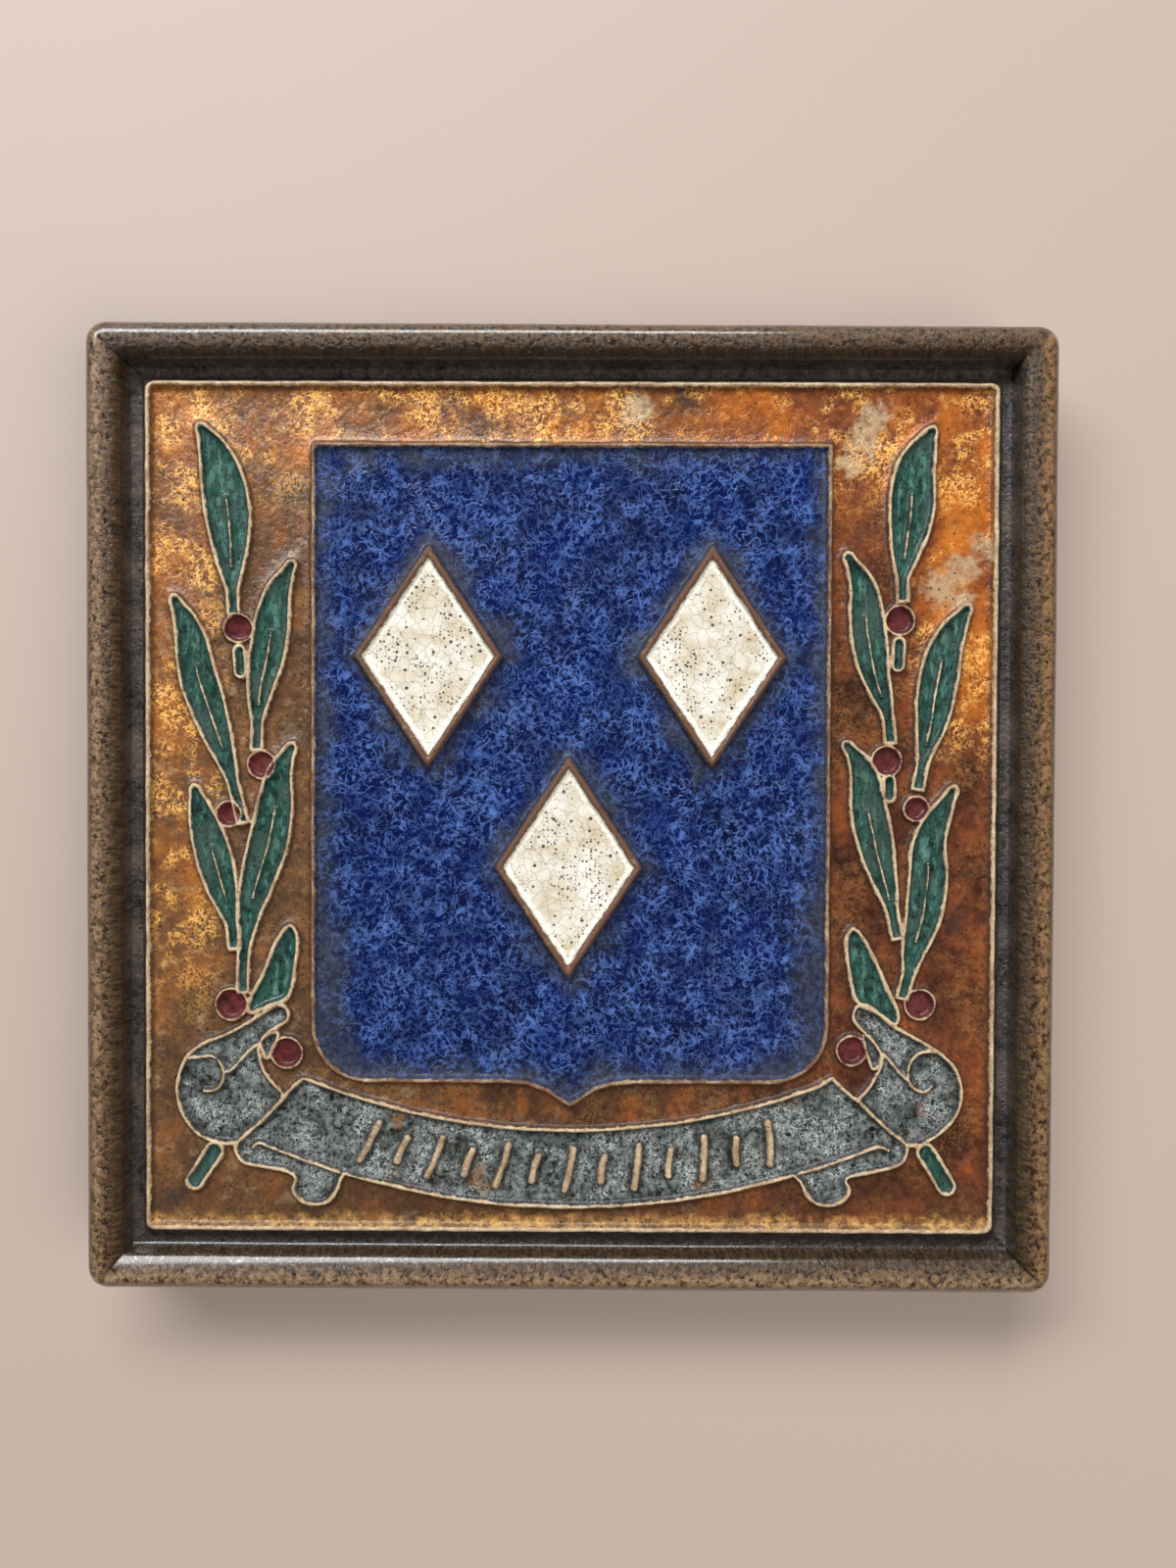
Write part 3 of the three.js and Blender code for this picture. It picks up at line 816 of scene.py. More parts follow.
# %% Normals of the whole relief
corners = np.column_stack([flat, height])
a, b, c = (corners[triangles[:, k]] for k in range(3))
face_normals = np.cross(b - a, c - a)
if face_normals[:, 2].sum() < 0:
    triangles = triangles[:, ::-1]
    face_normals = -face_normals
relief_normals = np.zeros_like(corners)
for k in range(3):
    np.add.at(relief_normals, triangles[:, k], face_normals)
relief_normals /= np.linalg.norm(relief_normals, axis=1)[:, None]
print("steepest part of the relief leans", round(math.degrees(math.acos(relief_normals[:, 2].min()))))

# %% Split where a piece touches itself in one point
def edge_pairs(faces):
    """All directed edges of some triangles."""
    return np.concatenate([faces[:, (0, 1)], faces[:, (1, 2)], faces[:, (2, 0)]])


def open_edges(faces):
    """The directed edges that only one triangle has."""
    pairs = edge_pairs(faces)
    size = pairs.max() + 1
    keys = pairs[:, 0] * size + pairs[:, 1]
    return pairs[~np.isin(keys, pairs[:, 1] * size + pairs[:, 0])]


def split_touching(faces, count):
    """Gives each fan of triangles round a touching point a point of its own."""
    starts, times = np.unique(open_edges(faces)[:, 0], return_counts=True)
    copies = []
    for point in starts[times > 1]:
        around = list(np.flatnonzero((faces == point).any(axis=1)))
        fans = []
        while around:
            fan, growing = [around.pop()], True
            while growing:
                growing = False
                shared = {v for f in fan for v in faces[f] if v != point}
                for f in list(around):
                    if shared & set(faces[f]):
                        fan.append(f)
                        around.remove(f)
                        growing = True
            fans.append(fan)
        for fan in fans[1:]:
            for f in fan:
                faces[f][faces[f] == point] = count + len(copies)
            copies.append(point)
    return copies


# %% Cut the pieces
BACK_OF_GLAZE = FLOOR_OF_CHANNEL - BEDDING
glaze_pieces = {}


def closed_piece(name, chosen):
    """A closed piece from some of the relief's triangles: its face, a wall and a flat back."""
    used, faces = np.unique(triangles[chosen], return_inverse=True)
    faces = faces.reshape(-1, 3)
    copies = split_touching(faces, len(used))
    used = np.concatenate([used, used[copies]]).astype(int)
    count = len(used)
    face_points = corners[used]
    back_points = face_points.copy()
    back_points[:, 2] = BACK_OF_GLAZE
    wall = [(b, a, a + count, b + count) for a, b in open_edges(faces).tolist()]
    back = faces[:, ::-1] + count
    mesh = bpy.data.meshes.new(name)
    mesh.from_pydata(np.concatenate([face_points, back_points]) * MM, [],
                     faces.tolist() + wall + back.tolist())
    for column, label in ((1, "off_line"), (2, "paleness")):
        numbers = mesh.attributes.new(label, "FLOAT", "POINT")
        numbers.data.foreach_set("value", np.tile(forms[used, column], 2).astype(np.float32))
    mesh.polygons.foreach_set("use_smooth", [True] * len(mesh.polygons))
    flat_normals = [tuple(p.normal) for p in mesh.polygons]
    normals = [tuple(relief_normals[used[v]]) for v in faces.ravel()]
    for polygon, normal in zip(mesh.polygons[len(faces):], flat_normals[len(faces):]):
        normals += [normal] * polygon.loop_total
    mesh.normals_split_custom_set(normals)
    piece = bpy.data.objects.new(name, mesh)
    bpy.context.scene.collection.objects.link(piece)
    return piece


for i, name in enumerate(GLAZES):
    glaze_pieces[name] = closed_piece(name + "_glaze", owner == i)
    print(name, "glaze", len(glaze_pieces[name].data.polygons), "faces")

# %% [markdown]
# ## Glazes
# A glaze isn't one colour. It breaks pale where it is thin, pools dark, and holds specks, bubbles
# and crystals. All of it is made with noise in the object's own millimetres, so that a speck is as
# big as on the real tile. What more than one glaze needs is a node group. The first two cells
# make short helpers, so that a sum of masks reads as a sum and still places one node for each sign.

# %% Values that signs can join
class Value:
    """An output of a node. A sign between two of them, or one and a number, places a node."""

    def __init__(self, socket):
        self.socket = socket
        self.tree = socket.id_data

    def __add__(self, other):
        return calc("ADD", self, other)

    def __radd__(self, other):
        return calc("ADD", other, self)

    def __sub__(self, other):
        return calc("SUBTRACT", self, other)

    def __rsub__(self, other):
        return calc("SUBTRACT", other, self)

    def __mul__(self, other):
        return calc("MULTIPLY", self, other)

    def __truediv__(self, other):
        return calc("DIVIDE", self, other)

    def __rtruediv__(self, other):
        return calc("DIVIDE", other, self)

    def __abs__(self):
        return calc("ABSOLUTE", self)


class Outputs:
    """The outputs of a node, by number or name."""

    def __init__(self, node):
        self.node = node

    def __getitem__(self, key):
        return Value(self.node.outputs[key])


print("signs ready")

# %% Node helpers
def fill(socket, value):
    """Joins a socket to a value, or sets it to a plain number or colour."""
    if isinstance(value, Value):
        value.tree.links.new(value.socket, socket)
    else:
        socket.default_value = value


def add(tree, kind, settings=None, inputs=None):
    """Places a node, sets it up, and joins or fills its sockets."""
    node = tree.nodes.new("ShaderNode" + kind)
    for key, value in (settings or {}).items():
        setattr(node, key, value)
    for key, value in (inputs or {}).items():
        fill(node.inputs[key], value)
    return Outputs(node)


def calc(operation, a, b=0.0, clamp=False):
    """The result of a sum on one or two values."""
    tree = a.tree if isinstance(a, Value) else b.tree
    return add(tree, "Math", {"operation": operation, "use_clamp": clamp}, {0: a, 1: b})[0]


def between(value, low, high, start=0.0, end=1.0):
    """Turns a value smoothly from start to end as it goes from low to high."""
    inputs = {"Value": value, "From Min": low, "From Max": high, "To Min": start, "To Max": end}
    return add(value.tree, "MapRange", {"interpolation_type": "SMOOTHSTEP"}, inputs)[0]


def blend(share, first, second):
    """Mixes two colours."""
    return add(share.tree, "Mix", {"data_type": "RGBA"}, {0: share, 6: first, 7: second})[2]


def layer(under, mask, share, over):
    """Lays a colour over another where the mask is, as strongly as the share."""
    return blend(mask * share, under, over)


def ramp(value, stops):
    """Colours from a list of (place, colour)."""
    colours = add(value.tree, "ValToRGB", None, {0: value})
    elements = colours.node.color_ramp.elements
    for place, colour in stops[2:]:
        elements.new(place)
    for element, (place, colour) in zip(elements, stops):
        element.position = place
        element.color = (*colour, 1)
    return colours[0]


def millimetres(tree):
    """The place on the object in millimetres."""
    place = add(tree, "TexCoord")["Object"]
    return add(tree, "VectorMath", {"operation": "SCALE"}, {0: place, "Scale": 1 / MM})[0]


def stretched(place, x, y, z):
    """A place whose three numbers are multiplied, so that noise on it runs one way."""
    return add(place.tree, "VectorMath", {"operation": "MULTIPLY"}, {0: place, 1: (x, y, z)})[0]


def axes(place):
    """The three numbers of a place."""
    return add(place.tree, "SeparateXYZ", None, {0: place})


def carried(tree, name):
    """A number that the points of the mesh carry."""
    return add(tree, "Attribute", {"attribute_name": name})["Fac"]


def grain(place, size, detail=3.0, seed=0.0, rough=0.5, warp=0.0):
    """Noise about 0.5 whose blots are about the given size in millimetres."""
    inputs = {"Vector": place, "W": seed, "Scale": 1.0 / size, "Detail": detail,
              "Roughness": rough, "Distortion": warp}
    return add(place.tree, "TexNoise", {"noise_dimensions": "4D"}, inputs)["Fac"]


def new_group(name, inputs, outputs):
    """An empty node group with named sockets, what comes in, and the sockets to fill."""
    group = bpy.data.node_groups.new(name, "ShaderNodeTree")
    for label, kind, value in inputs:
        socket = group.interface.new_socket(label, in_out="INPUT", socket_type="NodeSocket" + kind)
        socket.default_value = value
    for label, kind in outputs:
        group.interface.new_socket(label, in_out="OUTPUT", socket_type="NodeSocket" + kind)
    here = Outputs(group.nodes.new("NodeGroupInput"))
    return group, here, group.nodes.new("NodeGroupOutput").inputs


def use(tree, group, **values):
    """Places a node group with its own values."""
    node = tree.nodes.new("ShaderNodeGroup")
    node.node_tree = group
    for key, value in values.items():
        fill(node.inputs[key], value)
    return Outputs(node)


def new_finish(name, roughness, coat):
    """A material, its node tree and the sockets of its shader."""
    finish = bpy.data.materials.new(name)
    finish.use_nodes = True
    sockets = finish.node_tree.nodes["Principled BSDF"].inputs
    sockets["Roughness"].default_value = roughness
    sockets["Coat Weight"].default_value = coat
    sockets["Coat Roughness"].default_value = 0.12
    return finish, finish.node_tree, sockets


print("node helpers ready")

# %% [markdown]
# Four groups are shared. Mottle gives cloudy colour, Threads gives the fine worm-like crystals,
# Specks gives round dark pinholes, and Clay lines paints the raised lines. The last one reads the
# distance from the line that each point of the relief carries, and frays it with noise.

# %% Mottle
mottle, here, out = new_group("mottle", [
    ("Size", "Float", 3.0), ("Seed", "Float", 0.0), ("Contrast", "Float", 1.0),
    ("Dark", "Color", (0, 0, 0, 1)), ("Light", "Color", (1, 1, 1, 1))],
    [("Color", "Color"), ("Value", "Float")])
cloud = grain(millimetres(mottle), here["Size"], 5.0, here["Seed"], rough=0.6, warp=0.4)
value = calc("ADD", (cloud - 0.5) * here["Contrast"] * 2.2, 0.5, clamp=True)
fill(out["Value"], value)
fill(out["Color"], blend(value, here["Dark"], here["Light"]))
print("group", mottle.name)

# %% Threads
threads, here, out = new_group("threads", [
    ("Size", "Float", 1.0), ("Seed", "Float", 0.0), ("Width", "Float", 0.03)], [("Mask", "Float")])
place = millimetres(threads)
strand = 0.0
for offset in (0.0, 7.3, 13.9):
    wave = grain(place, here["Size"], 0.0, here["Seed"] + offset, warp=1.1)
    far = abs(wave - 0.5)
    near = calc("SUBTRACT", 1.0, far / here["Width"], clamp=True)
    gaps = between(grain(place, 0.6, 2.0, seed=3.0 + offset), 0.42, 0.54)
    strand = calc("MAXIMUM", strand, near * gaps)
fill(out["Mask"], strand)
print("group", threads.name)

# %% Specks
specks, here, out = new_group("specks", [
    ("Spacing", "Float", 1.0), ("Radius", "Float", 0.15), ("Share", "Float", 0.5),
    ("Depth", "Float", 0.0)], [("Mask", "Float")])
parts = axes(millimetres(specks))
sunk = parts[2] * here["Depth"]
place = add(specks, "CombineXYZ", None, {0: parts[0] + sunk, 1: parts[1] + sunk})[0]
spots = add(specks, "TexVoronoi", {"feature": "F1", "voronoi_dimensions": "2D"},
            {"Vector": place, "Scale": 1.0 / here["Spacing"]})
far = spots["Distance"] * here["Spacing"]
luck = add(specks, "SeparateColor", None, {0: spots["Color"]})
size = here["Radius"] * (luck[1] + 0.5)
disc = between(far / size, 1.0, 0.6)
fill(out["Mask"], disc * calc("LESS_THAN", luck[0], here["Share"]))
print("group", specks.name)

# %% Clay lines
CREAM = (0.60, 0.48, 0.32, 1)
BARE_BROWN = (0.19, 0.09, 0.045, 1)
clay_lines, here, out = new_group("clay lines", [
    ("Glaze", "Color", (0, 0, 0, 1)), ("Cream", "Color", CREAM), ("Brown", "Color", BARE_BROWN),
    ("Creep", "Float", 0.1)],
    [("Color", "Color"), ("Mask", "Float")])
place = millimetres(clay_lines)
off_line = carried(clay_lines, "off_line")
paleness = carried(clay_lines, "paleness")
ragged = grain(place, 0.9, 4.0, seed=1.0, rough=0.65) - 0.5
edge_at = off_line + ragged * 0.6 + here["Creep"]
mask = between(edge_at, 0.02, -0.1)
patch = grain(place, 1.8, 5.0, seed=5.0, rough=0.75) - 0.56
pale = calc("ADD", paleness, patch * 3.0, clamp=True)
pale = pale * between(edge_at, 0.02, -0.11, 0.35, 1.0)
clay = blend(pale, here["Brown"], here["Cream"])
dirt = between(grain(place, 0.35, 3.0, seed=9.0, rough=0.7), 0.52, 0.66)
clay = layer(clay, dirt, 0.7, here["Brown"])
fill(out["Color"], blend(mask, here["Glaze"], clay))
fill(out["Mask"], mask)
print("group", clay_lines.name)

# %% [markdown]
# Each glaze ends the same way: the clay lines are painted over its colour, the lines are a little
# rougher than the glass, and a bump takes the small pits and waves.

# %% Finish a glaze
LINE_ROUGHNESS = 0.5


def bump(tree, depth, relief):
    """Pits and waves up to the given depth in millimetres."""
    return add(tree, "Bump", None, {"Strength": 1.0, "Distance": depth * MM, "Height": relief})[0]


def close_glaze(tree, sockets, colour, roughness, relief, depth, **line):
    """Paints the lines on a glaze and joins colour, roughness and bump to its shader."""
    drawn = use(tree, clay_lines, Glaze=colour, **line)
    fill(sockets["Base Color"], drawn["Color"])
    off_line = carried(tree, "off_line")
    near_line = between(off_line, 0.4, 0.05, 0.0, LINE_ROUGHNESS - 0.2)
    fill(sockets["Roughness"], roughness + near_line)
    fill(sockets["Normal"], bump(tree, depth, relief))


print("roughness of the lines", LINE_ROUGHNESS)

# %% [markdown]
# The ground is an amber lustre: brown where it is thick, orange near the edges, ruddy on the
# right, with golden threads and milky spots. The orange near the top and the sides is partly the
# lustre's own colour and partly painted sheen, and the brightest gold threads are partly painted
# glints. Painted clouds would blur in a close view. Here a slow noise runs through a ramp of
# colours, and each further tone lies on it through a mask. A named pair of numbers says where a
# tone starts and where it is full, in millimetres.

# %% Amber ground
TOP_GLOW = (30.0, 44.0)
RIGHT_GLOW = ((36.0, 43.0), (2.0, 16.0))
LEFT_GLOW = ((-37.0, -43.0), (-30.0, -8.0))
TAN_FOOT = (-40.0, -45.0)
SHEEN_LEFT = (0.0, -30.0)
RUDDY_RIGHT = (18.0, 48.0)
amber, tree, sockets = new_finish("amber_lustre", 0.25, 0.12)
place = millimetres(tree)
cloud_edge = grain(place, 1.4, 4.0, seed=28.0, rough=0.6) - 0.5
parts = axes(place)
# Painted sheen: toward the top and the two sides the amber turns lighter and more orange, partly its
# own colour and partly a painted reflection of the window.
top_glow = between(parts[1], *TOP_GLOW)
right_glow = between(parts[0], *RIGHT_GLOW[0]) * between(parts[1], *RIGHT_GLOW[1])
left_glow = between(parts[0], *LEFT_GLOW[0]) * between(parts[1], *LEFT_GLOW[1])
glow = calc("MAXIMUM", top_glow * 0.62, right_glow)
glow = calc("MAXIMUM", glow, left_glow * 0.6)
cloud = use(tree, mottle, Size=6.0, Seed=2.0, Contrast=1.2)["Value"]
fine = use(tree, mottle, Size=0.7, Seed=6.0, Contrast=1.2)["Value"]
warm = glow * 0.34 + cloud * 0.44 + fine * 0.22
ground = ramp(warm, [(0.14, (0.02, 0.009, 0.005)), (0.36, (0.085, 0.036, 0.016)),
                     (0.56, (0.23, 0.074, 0.016)), (0.8, (0.56, 0.18, 0.022))])
foot_tan = between(parts[1] + cloud * 5.0, *TAN_FOOT)
tan = between(grain(place, 2.2, 5.0, seed=12.0, rough=0.65, warp=0.5), 0.54, 0.68)
sheen = between(parts[0] + cloud * 12.0, *SHEEN_LEFT)
sheen = calc("MAXIMUM", foot_tan * 0.15, sheen * 0.7)
tan = tan * (0.15 + sheen * 0.5)
ground = blend(tan, ground, (0.42, 0.29, 0.165, 1))
ground = layer(ground, sheen, 0.3, (0.2, 0.115, 0.06, 1))
ruddy = between(parts[0] + cloud * 30.0, *RUDDY_RIGHT)
ruddy_colour = ramp(warm, [(0.2, (0.045, 0.011, 0.006)), (0.5, (0.2, 0.042, 0.012)),
                           (0.85, (0.62, 0.17, 0.02))])
ground = layer(ground, ruddy, 0.62, ruddy_colour)
print("nodes in the amber ground", len(tree.nodes))

# %% Golden threads with painted glints, painted shade by the lines, and the gleam at the foot
SHADED_FOOT = (-36.0, -41.0)
GLEAM_FOOT = (-45.9, -47.5)
# Gold crystals of the lustre, partly painted glints: the brightest threads gather where the painted
# sheen is.
gold_and_glints = use(tree, threads, Size=0.85, Seed=4.0, Width=0.085)["Mask"]
cluster = between(grain(place, 4.5, 4.0, seed=16.0, rough=0.65), 0.44, 0.58)
cluster = cluster * between(glow, 0.0, 0.6, 0.1, 1.0)
gold_and_glints = gold_and_glints * cluster
ground = layer(ground, gold_and_glints, 0.95, (1.0, 0.52, 0.12, 1))
depth = carried(tree, "off_line")
# Painted shade: the ground darkens toward the foot of each raised line, partly the glaze's own darker
# edge where it thins.
line_foot_shade = depth + fine * 0.5
ground = blend(between(line_foot_shade, 0.75, 0.2, 0.0, 0.62), ground, (0.055, 0.026, 0.014, 1))
foot_shade = between(parts[1] + cloud * 4.0, *SHADED_FOOT)
ground = layer(ground, foot_shade, 0.35, (0.045, 0.02, 0.01, 1))
gleam_edge = parts[1] + cloud_edge * 3.5
gleam = between(gleam_edge, *GLEAM_FOOT) * between(fine, 0.2, 0.8, 0.25, 0.85)
broken = between(grain(place, 3.0, 4.0, seed=29.0, rough=0.65), 0.4, 0.58, 0.3, 1.0)
ground = blend(gleam * broken, ground, (0.7, 0.38, 0.11, 1))
print("nodes with threads and borders", len(tree.nodes))

# %% Milky and inky spots
MILKY = (0.52, 0.40, 0.25, 1)
INKY = (0.022, 0.020, 0.022, 1)
MILKY_PLACES = ((34.4, 44.4, 1.1), (33.2, 42.0, 1.2), (31.6, 39.4, 0.9), (46.4, 29.6, 1.2),
                (44.4, 27.2, 1.1), (41.8, 25.0, 1.4), (44.2, 23.4, 0.9), (7.4, 45.4, 1.1))
INKY_PLACES = ((-45.4, -44.6, 1.2), (43.8, -12.6, 0.6), (12.2, 46.6, 0.7))
for places, tint in ((MILKY_PLACES, MILKY), (INKY_PLACES, INKY)):
    patch = 0.0
    for x, y, radius in places:
        away = add(tree, "VectorMath", {"operation": "DISTANCE"}, {0: place, 1: (x, y, PANEL_TOP)})
        ragged = away["Value"] + cloud_edge * 7.0
        spot = between(ragged, radius + 1.3, radius - 0.6)
        patch = calc("MAXIMUM", patch, spot)
    thinned = patch * between(fine, 0.2, 0.6, 0.35, 0.7)
    ground = blend(thinned, ground, tint)
black = use(tree, specks, Spacing=0.9, Radius=0.13, Share=0.3)["Mask"]
ground = layer(ground, black, 0.7, (0.03, 0.017, 0.011, 1))
relief = fine + gold_and_glints * 0.5 - black
close_glaze(tree, sockets, ground, between(fine, 0.2, 0.8, 0.16, 0.3), relief, 0.06,
            Cream=(0.6, 0.45, 0.27, 1))
fill(sockets["Metallic"], between(warm, 0.34, 0.8, 0.0, 0.25))
print(amber.name, "with", len(MILKY_PLACES), "milky and", len(INKY_PLACES), "inky spots")

# %% [markdown]
# The shield's cobalt is full of pale crystals like short worms, and burnt to a smoky grey near
# the lozenges. Voronoi cells would give round crystals. The Threads group gives thin bent ones,
# from the places where a noise passes its middle value.

# %% Blue glaze
CLEAR_SIDES = (17.0, 27.0)
CLEAR_FOOT = (-4.0, -20.0)
blue, tree, sockets = new_finish("cobalt_blue", 0.22, 0.05)
place = millimetres(tree)
parts = axes(place)
cloud = use(tree, mottle, Size=4.5, Seed=1.0, Contrast=1.2, Dark=(0.0003, 0.002, 0.020, 1),
            Light=(0.0012, 0.0075, 0.072, 1))
cobalt = cloud["Color"]
worm = use(tree, threads, Size=1.9, Seed=8.0, Width=0.05)["Mask"]
worm_small = use(tree, threads, Size=1.1, Seed=15.0, Width=0.05)["Mask"]
worms = calc("MAXIMUM", worm, worm_small * 0.55)
clump = between(grain(place, 2.4, 3.0, seed=18.0), 0.36, 0.62, 0.35, 1.0)
worms = worms * clump
cobalt = layer(cobalt, worms, 0.9, (0.085, 0.165, 0.45, 1))
depth = carried(tree, "off_line")
corner = between(abs(parts[0]), *CLEAR_SIDES) * between(parts[1], *CLEAR_FOOT)
halo = cloud["Value"] * 2.6 - corner * 2.2
thin = between(depth + halo, 4.6, 0.4)
smoke = use(tree, mottle, Size=0.6, Seed=3.0, Contrast=1.2, Dark=(0.003, 0.005, 0.009, 1),
            Light=(0.050, 0.050, 0.050, 1))
cobalt = layer(cobalt, thin, 0.66, smoke["Color"])
fine = grain(place, 0.45, 3.0, seed=2.0)
pin = use(tree, specks, Spacing=1.0, Radius=0.11, Share=0.25)["Mask"]
cobalt = layer(cobalt, pin, 0.7, (0.004, 0.004, 0.008, 1))
relief = fine + worms * 0.4 - pin
shine = between(cloud["Value"], 0.0, 1.0, 0.26, 0.14) + thin * 0.3
close_glaze(tree, sockets, cobalt, shine, relief, 0.045, Brown=(0.12, 0.058, 0.034, 1))
print(blue.name)

# %% [markdown]
# The lozenges hold an opaque cream glaze with dark pinholes and hair cracks, whitest where it
# drew back from the clay. The cracks could be cut in the mesh, but they have no depth to see, so
# the borders of warped Voronoi cells are enough.

# %% White glaze
white, tree, sockets = new_finish("crackled_white", 0.25, 0.2)
place = millimetres(tree)
patches = use(tree, mottle, Size=3.0, Seed=5.0, Contrast=1.3, Dark=(0.52, 0.43, 0.28, 1),
              Light=(0.78, 0.76, 0.70, 1))
cream = patches["Color"]
depth = carried(tree, "off_line")
rim_band = between(depth, 0.75, 0.35) * between(depth, 0.0, 0.15)
cream = layer(cream, rim_band, 0.8, (0.86, 0.84, 0.76, 1))
crowd = between(grain(place, 3.2, 2.0, seed=17.0), 0.42, 0.56)
small = use(tree, specks, Spacing=0.45, Radius=0.12, Share=0.5)["Mask"]
small = small * crowd
large = use(tree, specks, Spacing=1.05, Radius=0.17, Share=0.38)["Mask"]
holes = calc("MAXIMUM", small, large)
holes = holes * between(depth, 0.3, 0.6)
push = add(tree, "TexNoise", None, {"Vector": place, "Scale": 1.2, "Detail": 2.0})["Color"]
wavy = add(tree, "VectorMath", {"operation": "ADD"}, {0: place, 1: push})[0]
crack_cells = add(tree, "TexVoronoi", {"feature": "DISTANCE_TO_EDGE"}, {"Vector": wavy, "Scale": 0.75})
crack = between(crack_cells["Distance"], 0.035, 0.0)
cream = layer(cream, crack, 0.08, (0.34, 0.26, 0.16, 1))
stain = between(grain(place, 0.5, 4.0, seed=19.0, rough=0.7), 0.56, 0.72)
stain = stain * crowd
cream = layer(cream, stain, 0.45, (0.33, 0.22, 0.12, 1))
cream = layer(cream, holes, 0.92, (0.035, 0.02, 0.012, 1))
relief = grain(place, 0.8, 3.0) - calc("MAXIMUM", holes, crack)
close_glaze(tree, sockets, cream, 0.26, relief, 0.05, Brown=(0.13, 0.065, 0.038, 1), Creep=0.02)
print(white.name)

# %% [markdown]
# The leaves are teal where the glaze is thick and nearly black near the lines. One noise would
# look like felt, so a second one, stretched up the tile, gives the streaks that a brush leaves.
# The pale streaks grow toward the middle of each leaf, where they are partly a painted highlight.

# %% Green glaze
green, tree, sockets = new_finish("leaf_green", 0.2, 0.12)
place = millimetres(tree)
leafy = use(tree, mottle, Size=0.9, Seed=7.0, Contrast=1.8, Dark=(0.004, 0.013, 0.010, 1),
            Light=(0.022, 0.075, 0.058, 1))
depth = carried(tree, "off_line")
long_way = stretched(place, 1.6, 0.55, 1.0)
# Pale streaks, partly brush streaks and partly a painted highlight that grows toward the middle of
# each leaf.
pale = between(grain(long_way, 1.0, 5.0, seed=21.0, rough=0.75), 0.46, 0.66)
pale = pale * between(depth, 0.1, 0.7, 0.25, 1.0)
teal = layer(leafy["Color"], pale, 0.8, (0.105, 0.235, 0.19, 1))
ashy = between(grain(place, 5.0, 3.0, seed=27.0), 0.52, 0.62)
teal = layer(teal, ashy, 0.5, (0.05, 0.075, 0.065, 1))
black = use(tree, specks, Spacing=0.6, Radius=0.13, Share=0.22)["Mask"]
teal = layer(teal, black, 0.75, (0.004, 0.014, 0.012, 1))
relief = grain(place, 0.5, 4.0, seed=4.0) - black
close_glaze(tree, sockets, teal, between(leafy["Value"], 0.0, 1.0, 0.34, 0.18), relief, 0.06)
print(green.name)

# %% [markdown]
# The ribbon and its scrolls have a slate glaze, frosted with fine crystals and rusty in places.
# One mottle would look like granite. So slow noises decide where it frosts and where it darkens.

# %% Grey glaze
grey, tree, sockets = new_finish("ribbon_grey", 0.2, 0.35)
place = millimetres(tree)
slate = use(tree, mottle, Size=0.7, Seed=9.0, Contrast=1.7, Dark=(0.002, 0.002, 0.001, 1),
            Light=(0.185, 0.205, 0.195, 1))
gloom = between(grain(place, 2.6, 4.0, seed=15.0, rough=0.6), 0.46, 0.6)
stone = layer(slate["Color"], gloom, 0.5, (0.016, 0.018, 0.015, 1))
frost = use(tree, threads, Size=0.6, Seed=11.0, Width=0.045)["Mask"]
frosted = between(grain(place, 3.5, 3.0, seed=14.0), 0.42, 0.6)
stone = blend(frost * frosted * 0.8, stone, (0.6, 0.63, 0.62, 1))
rust = between(grain(place, 6.0, 4.0, seed=8.0), 0.62, 0.7)
stone = layer(stone, rust, 0.7, (0.22, 0.095, 0.03, 1))
black = use(tree, specks, Spacing=0.45, Radius=0.12, Share=0.35)["Mask"]
stone = layer(stone, black, 0.8, (0.008, 0.009, 0.009, 1))
depth = carried(tree, "off_line")
# Painted shade: the slate darkens toward the foot of each raised line.
line_foot_shade = depth + slate["Value"] * 0.3
stone = blend(between(line_foot_shade, 0.8, 0.25, 0.0, 0.6), stone, (0.012, 0.013, 0.011, 1))
relief = grain(place, 0.4, 4.0, seed=6.0) - black
close_glaze(tree, sockets, stone, between(slate["Value"], 0.0, 1.0, 0.34, 0.18), relief, 0.08,
            Cream=(0.6, 0.47, 0.3, 1))
print(grey.name)

# %% [markdown]
# The berries are small sunk pools. At two millimetres across they show only a cloudy dark red,
# so one mottle does, with a tan line round it.

# %% Red glaze
red, tree, sockets = new_finish("berry_red", 0.18, 0.2)
place = millimetres(tree)
blood = use(tree, mottle, Size=0.9, Seed=13.0, Contrast=1.3, Dark=(0.035, 0.008, 0.008, 1),
            Light=(0.15, 0.030, 0.030, 1))
relief = grain(place, 0.5, 3.0, seed=3.0)
close_glaze(tree, sockets, blood["Color"], 0.22, relief, 0.05, Cream=(0.42, 0.27, 0.17, 1), Creep=0.14)
print(red.name)

# %% [markdown]
# ## Rim and back
# The rim has a brown glaze that hides little: it is thin and tan on the crest, where hands wore
# it, streaked down the slopes, and nearly black where it gathered in the channel. The colour
# follows from how far in from the outer edge a point lies, so one material serves the whole rim.
# On the lower sides the glaze ends in an uneven line, and below it is bare clay. Painted shade
# darkens the far rim and the near side of the channel.

# %% Where a point lies on the rim
rim, tree, sockets = new_finish("rim_brown", 0.3, 1.0)
place = millimetres(tree)
parts = axes(place)
left_right = abs(parts[0])
up_down = abs(parts[1])
wobble = grain(place, 1.3, 4.0, rough=0.7) - 0.5
inset_here = HALF - calc("MAXIMUM", left_right, up_down) + wobble * 1.1
on_side = between(left_right - up_down, -0.2, 0.2)
up_streaks = grain(stretched(place, 2.6, 0.5, 0.5), 1.0, 4.0, seed=1.0, rough=0.65)
side_streaks = grain(stretched(place, 0.5, 2.6, 0.5), 1.0, 4.0, seed=2.0, rough=0.65)
runs = add(tree, "Mix", None, {0: on_side, 2: up_streaks, 3: side_streaks})[0]
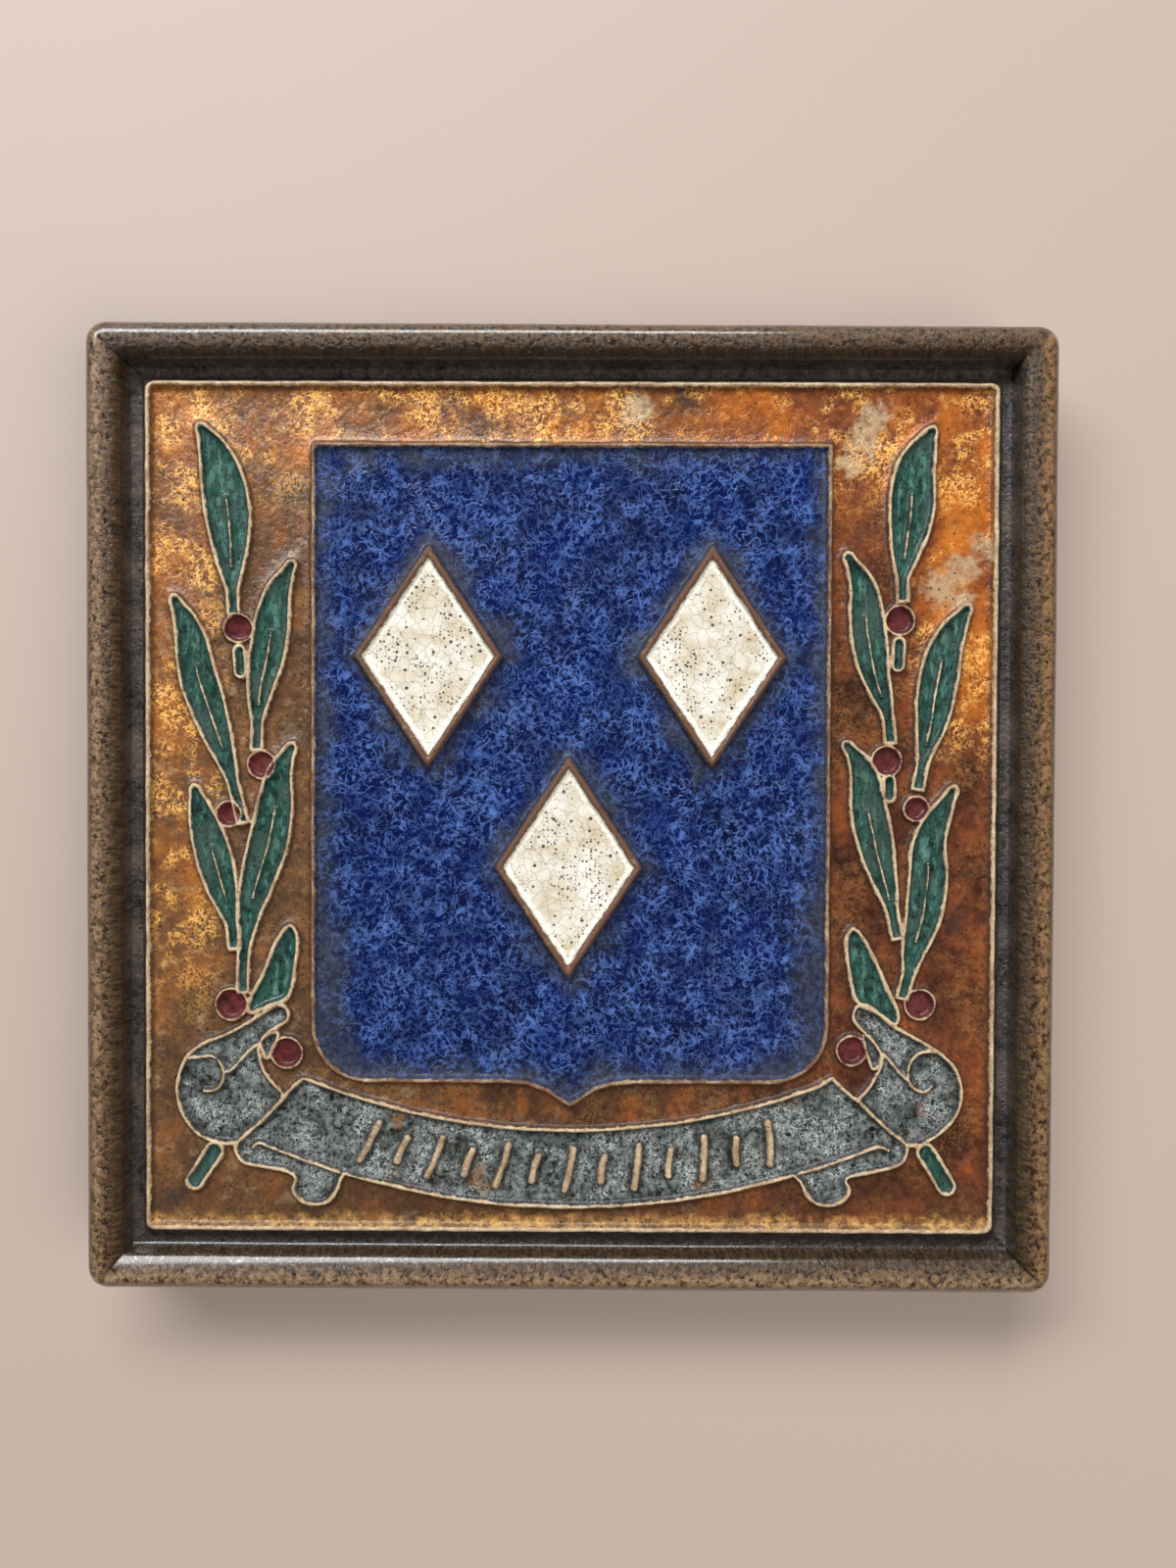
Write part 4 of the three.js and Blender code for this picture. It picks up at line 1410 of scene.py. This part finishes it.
# Mask for painted shade on the far rim, at the top of the tile, which faces away from the window.
far_side_shade = (1.0 - on_side) * between(parts[1], -1.0, 1.0)
near_side_shade = between(parts[1] + left_right, 0.2, -0.2)
right = on_side * between(parts[0], -1.0, 1.0)
print("nodes that place a point on the rim", len(tree.nodes))

# %% Crest, slope and channel
OUTER_SIDE = (0.9, 0.0)
WORN_FROM = (0.6, 1.3)
WORN_TO = (2.7, 1.7)
SLOPE_FROM = (2.6, 3.5)
CHANNEL_FROM = (3.9, 4.6)
body = use(tree, mottle, Size=0.6, Seed=21.0, Contrast=2.4, Dark=(0.018, 0.008, 0.003, 1),
           Light=(0.145, 0.076, 0.030, 1))
brown = body["Color"]
outer = between(inset_here, *OUTER_SIDE)
brown = layer(brown, outer, 0.75, (0.018, 0.011, 0.007, 1))
worn = between(inset_here, *WORN_FROM) * between(inset_here, *WORN_TO)
worn = worn * between(grain(place, 0.7, 4.0, seed=31.0, rough=0.75), 0.42, 0.58)
tan = blend(right, (0.29, 0.185, 0.1, 1), (0.29, 0.155, 0.068, 1))
# Painted shade: the far rim shows less wear and a darker brown.
worn = worn * (0.85 - far_side_shade * 0.6)
brown = layer(brown, far_side_shade, 0.4, (0.024, 0.012, 0.005, 1))
brown = blend(worn, brown, tan)
slope_colour = ramp(runs, [(0.36, (0.02, 0.01, 0.005)), (0.5, (0.05, 0.028, 0.012)),
                           (0.66, (0.095, 0.058, 0.026))])
# Painted shade on the far rim's inner slope.
slope_colour = layer(slope_colour, far_side_shade, 0.6, (0.012, 0.005, 0.002, 1))
brown = blend(between(inset_here, *SLOPE_FROM), brown, slope_colour)
pooled = use(tree, mottle, Size=0.8, Seed=23.0, Contrast=1.5, Dark=(0.006, 0.005, 0.004, 1),
             Light=(0.068, 0.056, 0.050, 1))["Color"]
smear = between(grain(place, 5.0, 4.0, seed=24.0), 0.42, 0.66)
smear = smear * (0.2 + on_side * 0.5)
pooled = blend(smear, pooled, (0.135, 0.1, 0.082, 1))
# Painted shade: the channel is darker on the near, lower side.
pooled = layer(pooled, near_side_shade, 0.6, (0.014, 0.007, 0.004, 1))
brown = blend(between(inset_here, *CHANNEL_FROM), brown, pooled)
print("nodes with crest, slope and channel", len(tree.nodes))

# %% Mitre cracks, specks and bare clay
CRACK_WIDTH = (0.3, 0.08)
CRACK_FROM = (48.6, 49.4)
CRACK_TO = (53.0, 52.4)
GLAZE_ENDS = (1.6, 1.4)
off_mitre = abs(parts[0] + parts[1]) + wobble * 0.9
crack = between(off_mitre, *CRACK_WIDTH) * between(left_right, *CRACK_FROM)
crack = crack * between(left_right, *CRACK_TO)
brown = layer(brown, crack, 0.9, (0.006, 0.004, 0.003, 1))
black = use(tree, specks, Spacing=0.6, Radius=0.14, Share=0.22, Depth=0.7)["Mask"]
brown = layer(brown, black, 0.7, (0.01, 0.007, 0.006, 1))
run = parts[2] - grain(place, 7.0, 3.0, seed=33.0) * 2.4
bare = between(run, *GLAZE_ENDS)
clay = use(tree, mottle, Size=1.5, Seed=34.0, Contrast=0.8, Dark=(0.30, 0.19, 0.12, 1),
           Light=(0.52, 0.37, 0.26, 1))["Color"]
fill(sockets["Base Color"], blend(bare, brown, clay))
shine = between(body["Value"], 0.0, 1.0, 0.14, 0.3)
fill(sockets["Roughness"], shine + bare * 0.5)
fill(sockets["Coat Weight"], between(bare, 0.0, 1.0, 0.7, 0.0))
relief = body["Value"] + runs - black - bare * 1.5
fill(sockets["Normal"], bump(tree, 0.07, relief))
print(rim.name)

# %% [markdown]
# The line round the panel is cream on its crest and has the channel's dark glaze on its outer
# side. It could share the rim's material, but that one doesn't know where the line's crest is, so
# it is closed like the other glazes.

# %% Panel edge
edging, tree, sockets = new_finish("panel_edge", 0.3, 0.25)
place = millimetres(tree)
dark = use(tree, mottle, Size=1.0, Seed=41.0, Contrast=1.3, Dark=(0.008, 0.007, 0.007, 1),
           Light=(0.075, 0.055, 0.045, 1))
close_glaze(tree, sockets, dark["Color"], 0.3, grain(place, 0.5, 4.0), 0.06, Creep=0.06)
print(edging.name)

# %% Give each piece its finish
FINISHES = {"amber": amber, "blue": blue, "white": white, "green": green, "grey": grey, "red": red,
            "edge": edging}
for name, piece in glaze_pieces.items():
    piece.data.materials.append(FINISHES[name])
    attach(piece, "root")
    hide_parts("tile")
deselect_all()
blank.select_set(True)
bpy.context.view_layer.objects.active = blank
bpy.ops.object.shade_smooth_by_angle(angle=math.radians(40))
blank.data.materials.append(rim)
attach(blank, "root")
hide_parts("tile")
print("pieces", len(glaze_pieces) + 1)
